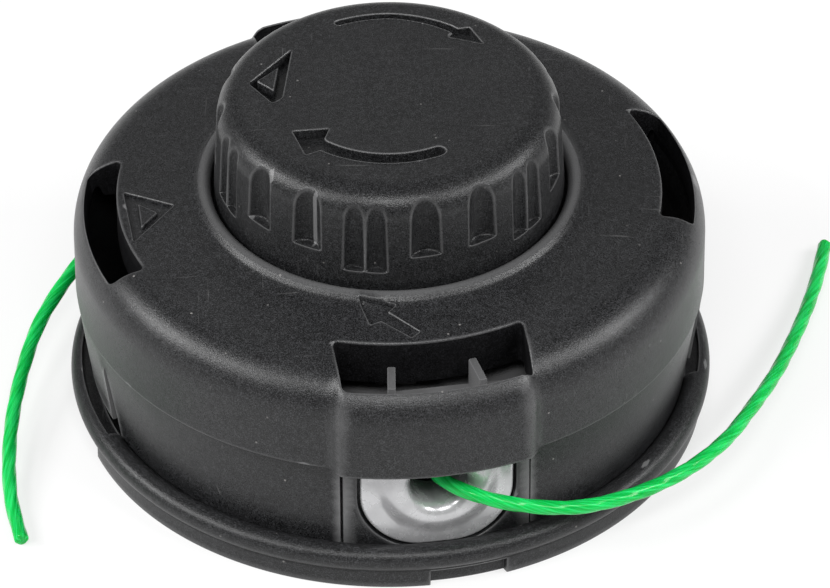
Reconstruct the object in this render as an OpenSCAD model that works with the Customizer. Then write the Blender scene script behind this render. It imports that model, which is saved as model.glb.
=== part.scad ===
// Bump feed line trimmer head, shown the way it lies on a bench: drive side down, knob up.
// A flanged housing carries a threaded arbor and two metal eyelets; a clip-on cover with two
// press-in tabs closes it; a sprung two-chamber spool with its knob slides and turns inside.
// Z is the drive axis, the floor is z = 0, and the eyelets lie near -Y and +Y.

/* [Flange] */
// Radius of the flange over its bead
flange_r = 52.5; // [45:0.5:65]
// Height of the bead's centre circle above the floor
bead_z = 5.6; // [4.5:0.1:7]
// Radius of the bead's round section
bead_tube = 2.1; // [1.5:0.1:3]
// Outer radius of the low rim under the bead
rim_r = 51.3; // [44:0.1:64]
// Angle taken by each notch in the low rim, in degrees
notch_deg = 14; // [6:1:24]

/* [Cover] */
// Outer radius of the cover's skirt
skirt_r = 51.2; // [44:0.1:64]
// Height of the skirt's lower edge
skirt_z = 24; // [20:0.5:28]
// Radius of the rounded shoulder
shoulder_r = 7.5; // [5:0.5:10]
// Height of the cover's flat at the shoulder
shoulder_z = 41; // [38:0.5:46]
// Wall thickness of the cover
wall = 2.2; // [1.6:0.1:3]
// Outer radius of the raised hoods over the eyelets
hood_r = 53.2; // [52:0.1:66]
// Inner radius of the collar round the knob
collar_r = 28.8; // [24:0.1:34]
// Half the angle of each press-in tab, in degrees
tab_half_deg = 15.2; // [10:0.2:20]

/* [Windows] */
// Half the width of the windows beside the tabs
side_win_half = 14.3; // [8:0.1:16]
// Inner radius of the windows beside the tabs
side_win_r = 44.1; // [42:0.1:46]
// Half the width of the windows over the eyelets
front_win_half = 15.2; // [8:0.1:17]
// Inner radius of the windows over the eyelets
front_win_r = 40.4; // [39:0.1:44]

/* [Knob] */
// Knob radius at the collar
knob_r = 28.3; // [22:0.1:32]
// Height of the knob's top
knob_z = 60.4; // [54:0.2:70]
// Radius of the knob's rounded edge
knob_edge = 5; // [3:0.5:8]
// Number of grip groups round the knob, each a double flute and two single ones
grip_groups = 6; // [4:1:8]

/* [Eyelets] */
// Direction of the front eyelet round the drive axis, in degrees
eye_deg = 279.2; // [270:0.1:290]
// Height of the eyelets' centres
eye_z = 18.9; // [16:0.1:22]
// Radius of the opening for the line
eye_hole_r = 4.6; // [3:0.1:6]
// Half the width of the eyelet plate
eye_half_w = 12.3; // [8:0.1:14]
// Half the width of the housing block that carries the eyelet
block_half_w = 15; // [10:0.1:16]

/* [Spool] */
// Radius of the spool's end flanges
spool_r = 40; // [30:0.5:40]
// Radius of the core that the line is wound on
core_r = 16; // [12:0.5:20]
// Line diameter
line_d = 2.4; // [1.6:0.1:3.3]
// Turns of line side by side outwards in each chamber
line_layers = 5; // [2:1:8]
// Downward travel of the knob and spool when the head is bumped
travel = 4.5; // [2:0.1:4.5]

/* [Drive] */
// Wall radius of the arbor's threaded hole
thread_r = 4.4; // [3:0.1:6]
// Width across the arbor's flats
arbor_flats = 14; // [12:0.5:15]

/* [Hidden] */
$fn = 96;
// Height of the floor plate's two faces
floor_lo = 1.2;
floor_hi = 3.4;
// Direction of the press-in tabs
tab_deg = eye_deg - 90.2;
// Radius of the guide post and of the sleeve that runs on it
post_r = 9.3;
sleeve_bore_r = 9.38;
post_z = 11.5;
// Radius of the outer faces of the eyelet blocks and of the cover's low wall
block_r = 48.2;
// Middle of the spool, level with the eyelets
mid_z = eye_z;
// Number of ratchet teeth
teeth = 12;
// Spring: mean radius, wire radius, ends
spring_mean = 12.4;
spring_wire = 0.75;
spring_lo = 4.2;
spring_hi = 15.35;
// Colours
c_black = [0.075, 0.078, 0.082];
c_knob = [0.085, 0.088, 0.092];
c_metal = [0.78, 0.79, 0.80];
c_steel = [0.52, 0.53, 0.55];
c_line = [0.36, 0.86, 0.22];
c_inner = [0.11, 0.11, 0.12];

// Centre of the shoulder's round
sh_c = [skirt_r - shoulder_r, shoulder_z - shoulder_r];
hood_out = hood_r - skirt_r;
knob_top_r = knob_r - 0.6 - knob_edge;

// Route of the front line tail: from inside the eyelet, out, round and down to the floor
front_route = [
    [5.8, -41.1, 18.3], [8.1, -45.4, 17.9], [13.1, -49.3, 17.9], [20.6, -48.9, 15.2],
    [29.8, -46.9, 13], [38.9, -41.8, 11.3], [47.3, -34.1, 9.6], [54, -25, 8.2],
    [58.8, -15, 6.8], [63, -5, 5.5], [66.3, 5, 4.2], [69.1, 14.8, 3.1], [71.4, 24.6, 2.1],
    [73.2, 34.6, 1.3]];
// Route of the rear line tail
rear_route = [
    [-5.8, 41.1, 18.5], [-8.1, 45.4, 18.2], [-13, 49.3, 18], [-21, 49.1, 16],
    [-30.1, 45.4, 14.5], [-37.6, 39.4, 13], [-43.9, 31.9, 11.5], [-49.6, 24.2, 9.9],
    [-54.5, 16.2, 8.1], [-58.2, 7.6, 6.5], [-60.4, -2, 5.1], [-61.7, -12.2, 3.9],
    [-62, -22, 2.8], [-61.3, -31.5, 2], [-59.3, -40.6, 1.3]];

// ---- helpers -------------------------------------------------------------------------------

// A wedge from the axis between two directions, for cutting sectors
module wedge(a0, a1, r, z0, z1) {
    am = (a0 + a1) / 2;
    translate([0, 0, z0]) linear_extrude(height = z1 - z0)
        polygon([[0, 0], [r * cos(a0), r * sin(a0)], [r * 1.25 * cos(am), r * 1.25 * sin(am)],
            [r * cos(a1), r * sin(a1)]]);
}

// A ring with square edges
module ring(r0, r1, z0, z1) {
    translate([0, 0, z0]) difference() {
        cylinder(r = r1, h = z1 - z0);
        translate([0, 0, -1]) cylinder(r = r0, h = z1 - z0 + 2);
    }
}

// Quarter round between straight edges: the upper right quarter of a disc
module quarter(c, r) {
    intersection() {
        translate(c) circle(r = r);
        translate(c) square([r + 1, r + 1]);
    }
}

// Catmull-Rom point on a route, u from 0 to 1 over segment i
function cr(p, i, u) =
    let (n = len(p), a = p[max(i - 1, 0)], b = p[i], c = p[min(i + 1, n - 1)], d = p[min(i + 2, n - 1)])
    0.5 * ((2 * b) + (c - a) * u + (2 * a - 5 * b + 4 * c - d) * u * u + (3 * b - a - 3 * c + d) * u * u * u);

function unit(v) = v / norm(v);

// A round tube swept along points, with flat ends
module tube(pts, r, sides = 8) {
    n = len(pts);
    tan = [for (i = [0:n - 1]) unit(pts[min(i + 1, n - 1)] - pts[max(i - 1, 0)])];
    rings = [for (i = [0:n - 1])
        let (sx = unit(cross([0, 0, 1], tan[i])), sy = cross(tan[i], sx))
        for (k = [0:sides - 1]) pts[i] + r * (cos(k * 360 / sides) * sx + sin(k * 360 / sides) * sy)];
    walls = [for (i = [0:n - 2]) for (k = [0:sides - 1])
        [i * sides + k, (i + 1) * sides + k, (i + 1) * sides + (k + 1) % sides, i * sides + (k + 1) % sides]];
    polyhedron(points = rings, faces = concat(
        [[for (k = [0:sides - 1]) k]], walls,
        [[for (k = [0:sides - 1]) (n - 1) * sides + sides - 1 - k]]), convexity = 8);
}

// ---- housing -------------------------------------------------------------------------------

// One block with its seat for an eyelet, drawn facing +X
module eyelet_block() {
    difference() {
        intersection() {
            translate([41.6, -block_half_w, floor_hi - 0.4]) cube([12, 2 * block_half_w, 33 - floor_hi + 0.4]);
            cylinder(r = block_r, h = 60);
        }
        // seat for the plate
        intersection() {
            translate([38, 0, eye_z]) rotate([0, 90, 0]) eyelet_outline(eye_half_w + 0.5, 13.1, 9.9, 16);
            difference() {
                cylinder(r = block_r + 5, h = 60);
                translate([0, 0, -1]) cylinder(r = block_r - 1.7, h = 62);
            }
        }
        // bore for the neck, wider where the lip's inner half lies
        translate([30, 0, eye_z]) rotate([0, 90, 0]) cylinder(r = 6.0, h = 30);
        translate([45, 0, eye_z]) rotate([0, 90, 0]) cylinder(r = 9.0, h = 10);
    }
    // ribs that stand on the block, seen through the window above
    for (s = [-1, 1]) rotate([0, 0, s * 8.8]) translate([42.2, -0.65, 32.8]) cube([5.6, 1.3, 2.6]);
}

// Rounded rectangle, extruded towards +Z
module eyelet_outline(hw, hh, cr0, h) {
    linear_extrude(height = h) union() {
        square([2 * hh, 2 * (hw - cr0)], center = true);
        square([2 * (hh - cr0), 2 * hw], center = true);
        for (a = [-1, 1], b = [-1, 1]) translate([a * (hh - cr0), b * (hw - cr0)]) circle(r = cr0);
    }
}

module housing() {
    color(c_black) difference() {
        union() {
            // floor plate, rim and bead in one turned section
            rotate_extrude() union() {
                translate([0, floor_lo]) square([50.6, floor_hi - floor_lo]);
                translate([49.3, 0]) square([rim_r - 49.3, 3.6]);
                translate([48.25, 3]) square([51.7 - 48.25, bead_z - 3]);
                translate([flange_r - bead_tube, bead_z]) circle(r = bead_tube);
            }
            // guide post and the flat that meets the drive shaft's washer
            cylinder(r = post_r, h = post_z);
            cylinder(r = 17, h = floor_hi - 0.2);
            // stiffening ribs under the floor
            for (a = [0:30:330]) rotate([0, 0, a + 9.2]) translate([15, -0.9, 0.2]) cube([35, 1.8, 2]);
            // upright guards beside the blocks and the tabs
            difference() {
                ring(41.8, 43.4, floor_hi - 0.3, 8);
                for (s = [0, 180]) rotate([0, 0, eye_deg + s]) translate([38, -16.2, 2]) cube([10, 32.4, 10]);
            }
            for (s = [0, 180]) rotate([0, 0, eye_deg + s]) eyelet_block();
        }
        // seat for the arbor insert, open below
        translate([0, 0, -1]) cylinder(r = (arbor_flats + 0.1) / sqrt(3), h = 12, $fn = 6);
        translate([0, 0, 5]) cylinder(r = 6.2, h = 10);
        // notches in the low rim
        for (a = [0:90:270]) rotate([0, 0, a])
            intersection() {
                wedge(277.2, 277.2 + notch_deg, 60, -1, 3);
                ring(49.9, 56, -1, 3);
            }
        // finger pockets in the bead next to the tabs, each with the catch's undercut
        for (s = [0, 180]) {
            intersection() {
                wedge(tab_deg + s - 16.4, tab_deg + s + 16.4, 60, 5.9, 12);
                ring(46, 50.6, 5.9, 12);
            }
            intersection() {
                wedge(tab_deg + s - 12.4, tab_deg + s + 12.4, 60, 3.5, 5.2);
                ring(46, 49.3, 3.5, 5.2);
            }
        }
    }
}

module arbor_insert() {
    color(c_steel) difference() {
        translate([0, 0, 0.4]) cylinder(r = arbor_flats / sqrt(3), h = 10.4, $fn = 6);
        translate([0, 0, -1]) cylinder(r = thread_r, h = 14);
        translate([0, 0, 0.3]) cylinder(r1 = thread_r + 0.7, r2 = thread_r, h = 0.8);
    }
}

// ---- eyelets -------------------------------------------------------------------------------

// Pressed metal eyelet, drawn facing +X
module eyelet() {
    color(c_metal) difference() {
        union() {
            // curved plate
            intersection() {
                translate([40, 0, eye_z]) rotate([0, 90, 0]) eyelet_outline(eye_half_w, 12.6, 9.5, 14);
                difference() {
                    cylinder(r = block_r, h = 60);
                    translate([0, 0, -1]) cylinder(r = block_r - 1.4, h = 62);
                }
            }
            // neck and rolled lip
            translate([42, 0, eye_z]) rotate([0, 90, 0]) cylinder(r = 5.8, h = 6);
            translate([47.4, 0, eye_z]) rotate([0, 90, 0]) rotate_extrude()
                translate([6.65, 0]) circle(r = 2.05);
        }
        translate([40, 0, eye_z]) rotate([0, 90, 0]) cylinder(r = eye_hole_r, h = 14);
    }
}

module eyelet_front() { rotate([0, 0, eye_deg]) eyelet(); }
module eyelet_rear() { rotate([0, 0, eye_deg - 180]) eyelet(); }

// ---- spring --------------------------------------------------------------------------------

module spring_seat() {
    color(c_steel) ring(11.1, 13.8, floor_hi, spring_lo);
}

module spring_washer() {
    color(c_steel) ring(11.1, 13.8, spring_hi, 16.15);
}

// Coil: closed turns at the ends, open turns between
module spring() {
    steps = 96;
    turns = 4;
    lo = spring_lo + spring_wire;
    hi = spring_hi - spring_wire;
    color(c_steel) tube([for (i = [0:steps])
        let (u = i / steps, a = u * turns * 360,
            v = u < 0.125 ? 0 : u > 0.875 ? 1 : (u - 0.125) / 0.75,
            e = v * v * (3 - 2 * v))
        [spring_mean * cos(a), spring_mean * sin(a), lo + (hi - lo) * (0.35 * e + 0.65 * u)]],
        spring_wire);
}

// ---- spool ---------------------------------------------------------------------------------

// Saw teeth on a ring, pointing up
module saw_teeth(z, h) {
    for (i = [0:teeth - 1]) rotate([0, 0, i * 360 / teeth])
        translate([33.9, 0, z]) rotate([90, 0, 90]) translate([0, 0, -2.2])
            linear_extrude(height = 4.4) polygon([[-4.2, -0.3], [4.2, -0.3], [4.2, h], [3.4, h]]);
}

module spool() {
    color(c_inner) difference() {
        union() {
            rotate_extrude() union() {
                // lower flange, sleeve and core
                translate([core_r - 1.8, 8.4]) square([spool_r - core_r + 1.8, 1.8]);
                translate([core_r - 1.8, 8.4]) square([1.8, 8]);
                translate([sleeve_bore_r, 8.4]) square([10.8 - sleeve_bore_r, 8]);
                // divider, level with the eyelets
                translate([0, 16.2]) square([39.2, 5.4]);
                // upper core and flange
                translate([13.4, 21]) square([2.6, 8.4]);
                translate([8, 27.6]) square([spool_r - 8, 1.8]);
            }
            // drive boss into the knob
            translate([0, 0, 21]) cylinder(r = 12, h = 33, $fn = 6);
            saw_teeth(29.4, 2.3);
        }
        translate([0, 0, 23.5]) cylinder(r = 7.6, h = 40);
        // line channel from rim to rim
        rotate([0, 0, eye_deg]) translate([-50, 0, mid_z]) rotate([0, 90, 0]) cylinder(r = 1.7, h = 100);
        // slots that lead the line from the channel into each chamber
        rotate([0, 0, eye_deg]) translate([27, -1.7, 16]) cube([14, 3.4, 3]);
        rotate([0, 0, eye_deg + 180]) translate([27, -1.7, mid_z]) cube([14, 3.4, 3]);
        // lightening holes in the flanges
        for (i = [0:5]) rotate([0, 0, 9 + i * 60]) translate([33.4, 0, 5]) cylinder(r = 3.2, h = 6);
    }
}

// Wound line, one length: two packs of turns joined through the channel
module wound_line() {
    outer = 17.5 + (line_layers - 1) * line_d;
    color(c_line) union() {
        for (z0 = [12.0, 23.4]) rotate_extrude() union() {
            translate([core_r + 0.2, z0 - 1]) square([outer - core_r - 0.2, line_d + 2]);
            for (j = [0, 1]) translate([outer, z0 + j * line_d]) circle(r = line_d / 2 + 0.06);
        }
        rotate([0, 0, eye_deg]) translate([-28.2, 0, mid_z]) rotate([0, 90, 0]) cylinder(r = line_d / 2, h = 56.4);
        rotate([0, 0, eye_deg]) translate([28.2, 0, 12]) cylinder(r = line_d / 2, h = 7.4);
        rotate([0, 0, eye_deg + 180]) translate([28.2, 0, 18.4]) cylinder(r = line_d / 2, h = 7.4);
    }
}

module line_tail(route) {
    per = 5;
    n = len(route) - 1;
    color(c_line) tube(concat([for (i = [0:n - 1]) for (k = [0:per - 1]) cr(route, i, k / per)], [route[n]]),
        line_d / 2);
}

module line_tail_front() { line_tail(front_route); }
module line_tail_rear() { line_tail(rear_route); }

// ---- cover ---------------------------------------------------------------------------------

// Filled outside shape, shifted outwards by d
module cover_solid(d) {
    union() {
        translate([0, skirt_z]) square([skirt_r + d, sh_c[1] - skirt_z]);
        translate([0, sh_c[1] - 0.01]) square([sh_c[0] + d, shoulder_z - sh_c[1] + 0.01]);
        quarter([sh_c[0] + d, sh_c[1]], shoulder_r);
    }
}

// Filled inside shape, shifted outwards by d
module cover_hollow(d) {
    union() {
        translate([0, 0]) square([skirt_r + d - wall, sh_c[1]]);
        translate([0, sh_c[1] - 0.01]) square([sh_c[0] + d, shoulder_z - wall - sh_c[1] + 0.01]);
        quarter([sh_c[0] + d, sh_c[1]], shoulder_r - wall);
    }
}

// A stretch of the low wall between two directions, leaning out towards the skirt it hangs from
module low_wall(a0, a1) {
    rotate([0, 0, a0]) rotate_extrude(angle = a1 - a0)
        polygon([[46.1, 3.8], [47.9, 3.8], [48.05, 8], [49.3, skirt_z + 0.5], [50.2, skirt_z + 1.8],
            [47.2, skirt_z + 1.8]]);
}

// A window cut from above, drawn towards +X
module window(r0, r1, half) {
    intersection() {
        ring(r0, r1, 27, 60);
        translate([30, -half, 25]) cube([40, 2 * half, 40]);
    }
}

module cover() {
    color(c_black) difference() {
        union() {
            difference() {
                union() {
                    rotate_extrude() cover_solid(0);
                    // rising top and the collar's lip
                    rotate_extrude() union() {
                        polygon([[44.0, 40.4], [44.0, 41], [33.5, 42], [31.2, 42.6], [31.2, 40.4]]);
                        translate([collar_r, 40.4]) square([2.4, 1.9]);
                        intersection() {
                            translate([collar_r + 1.2, 42.3]) circle(r = 1.2);
                            translate([collar_r, 42.3]) square([2.4, 2.4]);
                        }
                    }
                    // hoods over the eyelets
                    for (s = [0, 180]) rotate([0, 0, eye_deg + s - 19]) rotate_extrude(angle = 37.4) cover_solid(hood_out);
                }
                rotate_extrude() cover_hollow(0);
                for (s = [0, 180]) rotate([0, 0, eye_deg + s - 16.8]) rotate_extrude(angle = 33) cover_hollow(hood_out);
            }
            // sleeve of the collar and the ring that carries the teeth
            ring(collar_r, collar_r + 2.4, 38.4, 42);
            ring(31.6, 36.2, 33.6, 39.6);
            rotate([0, 0, 15]) translate([0, 0, 65.5]) mirror([0, 0, 1]) saw_teeth(31.9, 1.5);
            // low wall between the blocks and the tabs
            for (s = [0, 180]) rotate([0, 0, s]) {
                low_wall(tab_deg + tab_half_deg + 1, eye_deg - 19.2);
                low_wall(eye_deg + 19.2, tab_deg + 180 - tab_half_deg - 1);
            }
            // press-in tabs with their catches
            for (s = [0, 180]) rotate([0, 0, tab_deg + s - tab_half_deg])
                rotate_extrude(angle = 2 * tab_half_deg)
                    polygon([[48.2, skirt_z + 2.6], [50.3, skirt_z + 2.6], [50.3, skirt_z + 1], [skirt_r - 0.1, skirt_z - 0.1],
                        [49.3, 9.4], [48.6, 8.8], [48.0, 8.6], [48.0, 5.5], [46.2, 5.5], [46.2, 9.4]]);
            for (s = [0, 180]) rotate([0, 0, tab_deg + s - 11]) rotate_extrude(angle = 22)
                polygon([[46.6, 6.2], [47.7, 6.2], [47.8, 5.1], [48.8, 4.8], [48.8, 4.3], [47.6, 3.7], [46.6, 3.7]]);
            // wells below the windows
            for (s = [0, 180]) {
                rotate([0, 0, eye_deg + s]) intersection() {
                    difference() {
                        ring(38.8, 51, 35.8, 39.6);
                        window(front_win_r, 60, front_win_half);
                    }
                    translate([30, -front_win_half - 1.4, 20]) cube([20.8, 2 * front_win_half + 2.8, 40]);
                }
                rotate([0, 0, tab_deg + s]) intersection() {
                    ring(42.4, side_win_r, 35, 39.6);
                    translate([30, -side_win_half - 1, 20]) cube([30, 2 * side_win_half + 2, 40]);
                }
            }
        }
        // bore for the knob
        translate([0, 0, 30]) cylinder(r = collar_r, h = 20);
        // windows
        for (s = [0, 180]) {
            rotate([0, 0, eye_deg + s]) window(front_win_r, 50.2, front_win_half);
            rotate([0, 0, tab_deg + s]) window(side_win_r, 49.4, side_win_half);
        }
    }
}

// ---- knob ----------------------------------------------------------------------------------

module knob() {
    edge_z = knob_z - knob_edge;
    color(c_knob) difference() {
        union() {
            rotate_extrude() union() {
                translate([0, 36.5]) square([knob_r, 43 - 36.5]);
                polygon([[0, 43], [knob_r, 43], [knob_top_r + knob_edge, edge_z], [0, edge_z]]);
                translate([0, edge_z]) square([knob_top_r, knob_edge]);
                quarter([knob_top_r, edge_z], knob_edge);
                // flange that stays under the collar
                translate([20, 36.5]) square([31.1 - 20, 1.6]);
            }
        }
        // hollow inside with the drive socket left standing
        difference() {
            translate([0, 0, 30]) cylinder(r = 25.7, h = 57.6 - 30);
            cylinder(r = 14.6, h = 60);
            for (a = [0:60:300]) rotate([0, 0, a]) translate([13, -0.8, 44]) cube([14, 1.6, 20]);
        }
        translate([0, 0, 30]) cylinder(r = 12.12, h = 26, $fn = 6);
        // grip: double and single flutes
        for (g = [0:grip_groups - 1]) rotate([0, 0, eye_deg - 17 + g * 360 / grip_groups]) {
            for (m = [-1, 1]) rotate([0, 0, m * 3.7]) translate([29.0, 0, 46]) cylinder(r = 1.9, h = 20);
            for (m = [-1, 1]) rotate([0, 0, m * 20]) translate([29.2, 0, 48.7]) cylinder(r = 2.7, h = 20);
        }
        // arrows pressed into the top: the way to wind
        translate([0, 0, knob_z - 0.5]) {
            rotate([0, 0, 57]) rotate_extrude(angle = 57) translate([20.6, 0]) square([0.9, 2]);
            rotate([0, 0, 236]) rotate_extrude(angle = 64) translate([16.9, 0]) square([0.9, 2]);
            linear_extrude(height = 2) polygon([[15.06, 13.46], [9.45, 15.67], [12.37, 18.07]]);
            linear_extrude(height = 2) polygon([[-15.35, -9.59], [-9.48, -8.6], [-13.2, -15.8]]);
        }
        // triangular pocket with an island: the mark that lines up with the cover's
        translate([0, 0, knob_z - 0.5]) difference() {
            linear_extrude(height = 2) polygon([[-23.7, 3.75], [-15.68, 12.25], [-17.86, -1.25]]);
            translate([0, 0, -1]) linear_extrude(height = 4) polygon([[-21.24, 4.9], [-17.9, 7.97], [-18.68, 2.13]]);
        }
    }
}

housing();
arbor_insert();
eyelet_front();
eyelet_rear();
spring_seat();
spring();
spring_washer();
spool();
wound_line();
line_tail_front();
line_tail_rear();
cover();
knob();
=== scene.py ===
import math

import bpy
import numpy as np
from mathutils import Matrix, Vector
from mathutils.geometry import delaunay_2d_cdt


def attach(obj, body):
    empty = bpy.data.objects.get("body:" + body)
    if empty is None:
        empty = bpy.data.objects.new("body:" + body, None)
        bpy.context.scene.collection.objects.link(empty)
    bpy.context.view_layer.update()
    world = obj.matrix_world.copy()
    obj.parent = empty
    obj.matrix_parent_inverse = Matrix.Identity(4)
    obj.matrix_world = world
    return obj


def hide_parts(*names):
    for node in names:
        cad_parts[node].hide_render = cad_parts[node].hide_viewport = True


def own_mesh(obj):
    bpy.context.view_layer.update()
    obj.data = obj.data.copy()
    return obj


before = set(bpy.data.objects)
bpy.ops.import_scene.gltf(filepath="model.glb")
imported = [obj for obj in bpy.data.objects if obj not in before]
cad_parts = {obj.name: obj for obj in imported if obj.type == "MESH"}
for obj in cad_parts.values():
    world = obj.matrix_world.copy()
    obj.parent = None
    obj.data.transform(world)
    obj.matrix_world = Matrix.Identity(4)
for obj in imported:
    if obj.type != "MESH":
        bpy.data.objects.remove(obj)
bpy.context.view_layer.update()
MM = 0.001
EYE = 279.2          # direction of the front eyelet, degrees
TAB = EYE - 90.2     # direction of the left press-in tab
rad = math.radians


# ---------------------------------------------------------------- small helpers
def smooth(a, b, x):
    t = np.clip((np.asarray(x, float) - a) / (b - a), 0.0, 1.0)
    return t * t * (3 - 2 * t)


def wrap(a):
    """An angle in degrees as -180..180."""
    return (np.asarray(a, float) + 180.0) % 360.0 - 180.0


def new_object(name, verts_mm, faces, mat, body, replaces=(), flat=35.0, mats=None, face_mats=None):
    me = bpy.data.meshes.new(name)
    v = np.asarray(verts_mm, float) * MM
    me.from_pydata([tuple(p) for p in v], [], [tuple(int(i) for i in f) for f in faces])
    me.validate(verbose=False)
    me.update()
    o = bpy.data.objects.new(name, me)
    bpy.context.scene.collection.objects.link(o)
    for m in mats or [mat]:
        me.materials.append(m)
    if face_mats is not None and len(face_mats) == len(me.polygons):
        me.polygons.foreach_set("material_index", np.asarray(face_mats, np.int32))
    import bmesh
    bm = bmesh.new()
    bm.from_mesh(me)
    bmesh.ops.remove_doubles(bm, verts=bm.verts, dist=2e-6)
    bmesh.ops.recalc_face_normals(bm, faces=bm.faces)
    bm.to_mesh(me)
    bm.free()
    me.polygons.foreach_set("use_smooth", [True] * len(me.polygons))
    if flat:
        me.set_sharp_from_angle(angle=rad(flat))
    me.update()
    if replaces:
        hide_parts(*replaces)
    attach(o, body)
    return o


def join_parts(parts):
    """Several (verts, faces) lists as one."""
    V, F, n = [], [], 0
    for v, f in parts:
        v = np.asarray(v, float)
        V.append(v)
        F += [tuple(i + n for i in face) for face in f]
        n += len(v)
    return np.vstack(V), F


def grid_faces(nr, nc, close_r=False, close_c=True, off=0):
    """Quads of a grid of nr rows by nc columns, vertex index r * nc + c."""
    F = []
    for r in range(nr if close_r else nr - 1):
        r2 = (r + 1) % nr
        for c in range(nc if close_c else nc - 1):
            c2 = (c + 1) % nc
            F.append((off + r * nc + c, off + r * nc + c2, off + r2 * nc + c2, off + r2 * nc + c))
    return F


def resample(pts, step):
    """Points along a polyline, near `step` apart, the corners kept where they are sharp."""
    pts = np.asarray(pts, float)
    out = [pts[0]]
    for a, b in zip(pts[:-1], pts[1:]):
        n = max(1, int(round(np.linalg.norm(b - a) / step)))
        for k in range(1, n + 1):
            out.append(a + (b - a) * k / n)
    return np.array(out)


def arc(cx, cy, r, a0, a1, n):
    t = np.radians(np.linspace(a0, a1, n + 1))
    return [(cx + r * math.cos(x), cy + r * math.sin(x)) for x in t]


def point_in_poly(px, py, poly):
    """Even-odd test of many points against one closed polygon."""
    inside = np.zeros(len(px), bool)
    x0, y0 = poly[-1]
    for x1, y1 in poly:
        cond = (y1 > py) != (y0 > py)
        with np.errstate(divide="ignore", invalid="ignore"):
            xi = (x0 - x1) * (py - y1) / (y0 - y1) + x1
        inside ^= cond & (px < xi)
        x0, y0 = x1, y1
    return inside


def dist_to_poly(px, py, poly, closed=True):
    """Distance of many points to a polyline."""
    P = np.stack([px, py], -1)
    A = np.asarray(poly, float)
    B = np.roll(A, -1, axis=0)
    if not closed:
        A, B = A[:-1], B[:-1]
    best = np.full(len(P), 1e9)
    for a, b in zip(A, B):
        ab = b - a
        L = float(ab @ ab)
        t = np.clip(((P - a) @ ab) / L, 0, 1) if L > 0 else np.zeros(len(P))
        d = P - (a + t[:, None] * ab)
        best = np.minimum(best, np.hypot(d[:, 0], d[:, 1]))
    return best


def offset_loop(loop, d):
    """A closed loop moved outwards by d (loops run counter-clockwise)."""
    L = np.asarray(loop, float)
    e = np.roll(L, -1, axis=0) - L
    e /= np.maximum(np.hypot(e[:, 0], e[:, 1])[:, None], 1e-9)
    n = np.stack([e[:, 1], -e[:, 0]], -1)
    m = n + np.roll(n, 1, axis=0)
    m /= np.maximum(np.hypot(m[:, 0], m[:, 1])[:, None], 1e-9)
    c = np.maximum((m * n).sum(-1), 0.5)
    return L + m * (d / c)[:, None]


def triangulate(points, loops, outer, holes):
    """Constrained triangulation. points: (n, 2); loops: index lists of closed constraint loops;
    outer: closed polygon that bounds the kept region, or None; holes: closed polygons left out.
    Returns (points, triangles, map from given index to returned index)."""
    edges = []
    for lp in loops:
        edges += [(lp[i], lp[(i + 1) % len(lp)]) for i in range(len(lp))]
    res = delaunay_2d_cdt([Vector((float(x), float(y))) for x, y in points], edges, [], 0, 1e-7, True)
    P = np.array([(v.x, v.y) for v in res[0]])
    T = np.array(res[2], int)
    back = {}
    for new, olds in enumerate(res[3]):
        for o in olds:
            back[o] = new
    c = P[T].mean(1)
    keep = np.ones(len(T), bool)
    if outer is not None:
        keep &= point_in_poly(c[:, 0], c[:, 1], outer)
    for h in holes:
        keep &= ~point_in_poly(c[:, 0], c[:, 1], h)
    return P, T[keep], back


def revolve(profile, n=180, a0=0.0, a1=360.0):
    """Turned surface from a list of (r, z); closed round when a1 - a0 is 360."""
    full = abs(a1 - a0 - 360.0) < 1e-6
    t = np.radians(np.linspace(a0, a1, n + 1)[: n if full else n + 1])
    P = np.asarray(profile, float)
    V = np.array([[(r * math.cos(x), r * math.sin(x), z) for x in t] for r, z in P]).reshape(-1, 3)
    return V, grid_faces(len(P), len(t), close_c=full)


def turned_solid(profile, n=180):
    """A closed solid turned from a closed (r, z) outline."""
    t = np.radians(np.arange(n) * 360.0 / n)
    P = np.asarray(profile, float)
    V = np.array([[(r * math.cos(x), r * math.sin(x), z) for x in t] for r, z in P]).reshape(-1, 3)
    return V, grid_faces(len(P), n, close_r=True)


def rot_z(V, deg):
    c, s = math.cos(rad(deg)), math.sin(rad(deg))
    V = np.asarray(V, float).copy()
    x, y = V[:, 0].copy(), V[:, 1].copy()
    V[:, 0], V[:, 1] = c * x - s * y, s * x + c * y
    return V


# ---------------------------------------------------------------- camera
def make_camera():
    cam = bpy.data.cameras.new("camera")
    cam.sensor_fit = "HORIZONTAL"
    cam.sensor_width = 36.0
    cam.lens = 323.08
    cam.clip_start, cam.clip_end = 0.05, 10.0
    cam.dof.use_dof = False
    o = bpy.data.objects.new("camera", cam)
    bpy.context.scene.collection.objects.link(o)
    f = Vector((0.0, 0.77934, -0.62660)).normalized()
    right, up = Vector((1, 0, 0)), Vector((0, 0.62660, 0.77934)).normalized()
    a = rad(0.28)
    r2 = right * math.cos(a) - up * math.sin(a)
    u2 = up * math.cos(a) + right * math.sin(a)
    m = Matrix((r2, u2, -f)).transposed().to_4x4()
    m.translation = Vector((4.082, -948.825, 781.800)) * MM
    o.matrix_world = m
    bpy.context.scene.camera = o
    return o


make_camera()

# ---------------------------------------------------------------- materials
def node_tree(name):
    m = bpy.data.materials.new(name)
    m.use_nodes = True
    nt = m.node_tree
    nt.nodes.clear()
    out = nt.nodes.new("ShaderNodeOutputMaterial")
    bs = nt.nodes.new("ShaderNodeBsdfPrincipled")
    nt.links.new(bs.outputs["BSDF"], out.inputs["Surface"])
    co = nt.nodes.new("ShaderNodeTexCoord")
    return m, nt, bs, co


def noise(nt, co, scale, detail=2.0, rough=0.5, vec=None):
    n = nt.nodes.new("ShaderNodeTexNoise")
    n.inputs["Scale"].default_value = scale
    n.inputs["Detail"].default_value = detail
    n.inputs["Roughness"].default_value = rough
    nt.links.new(vec or co.outputs["Object"], n.inputs["Vector"])
    return n


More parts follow.
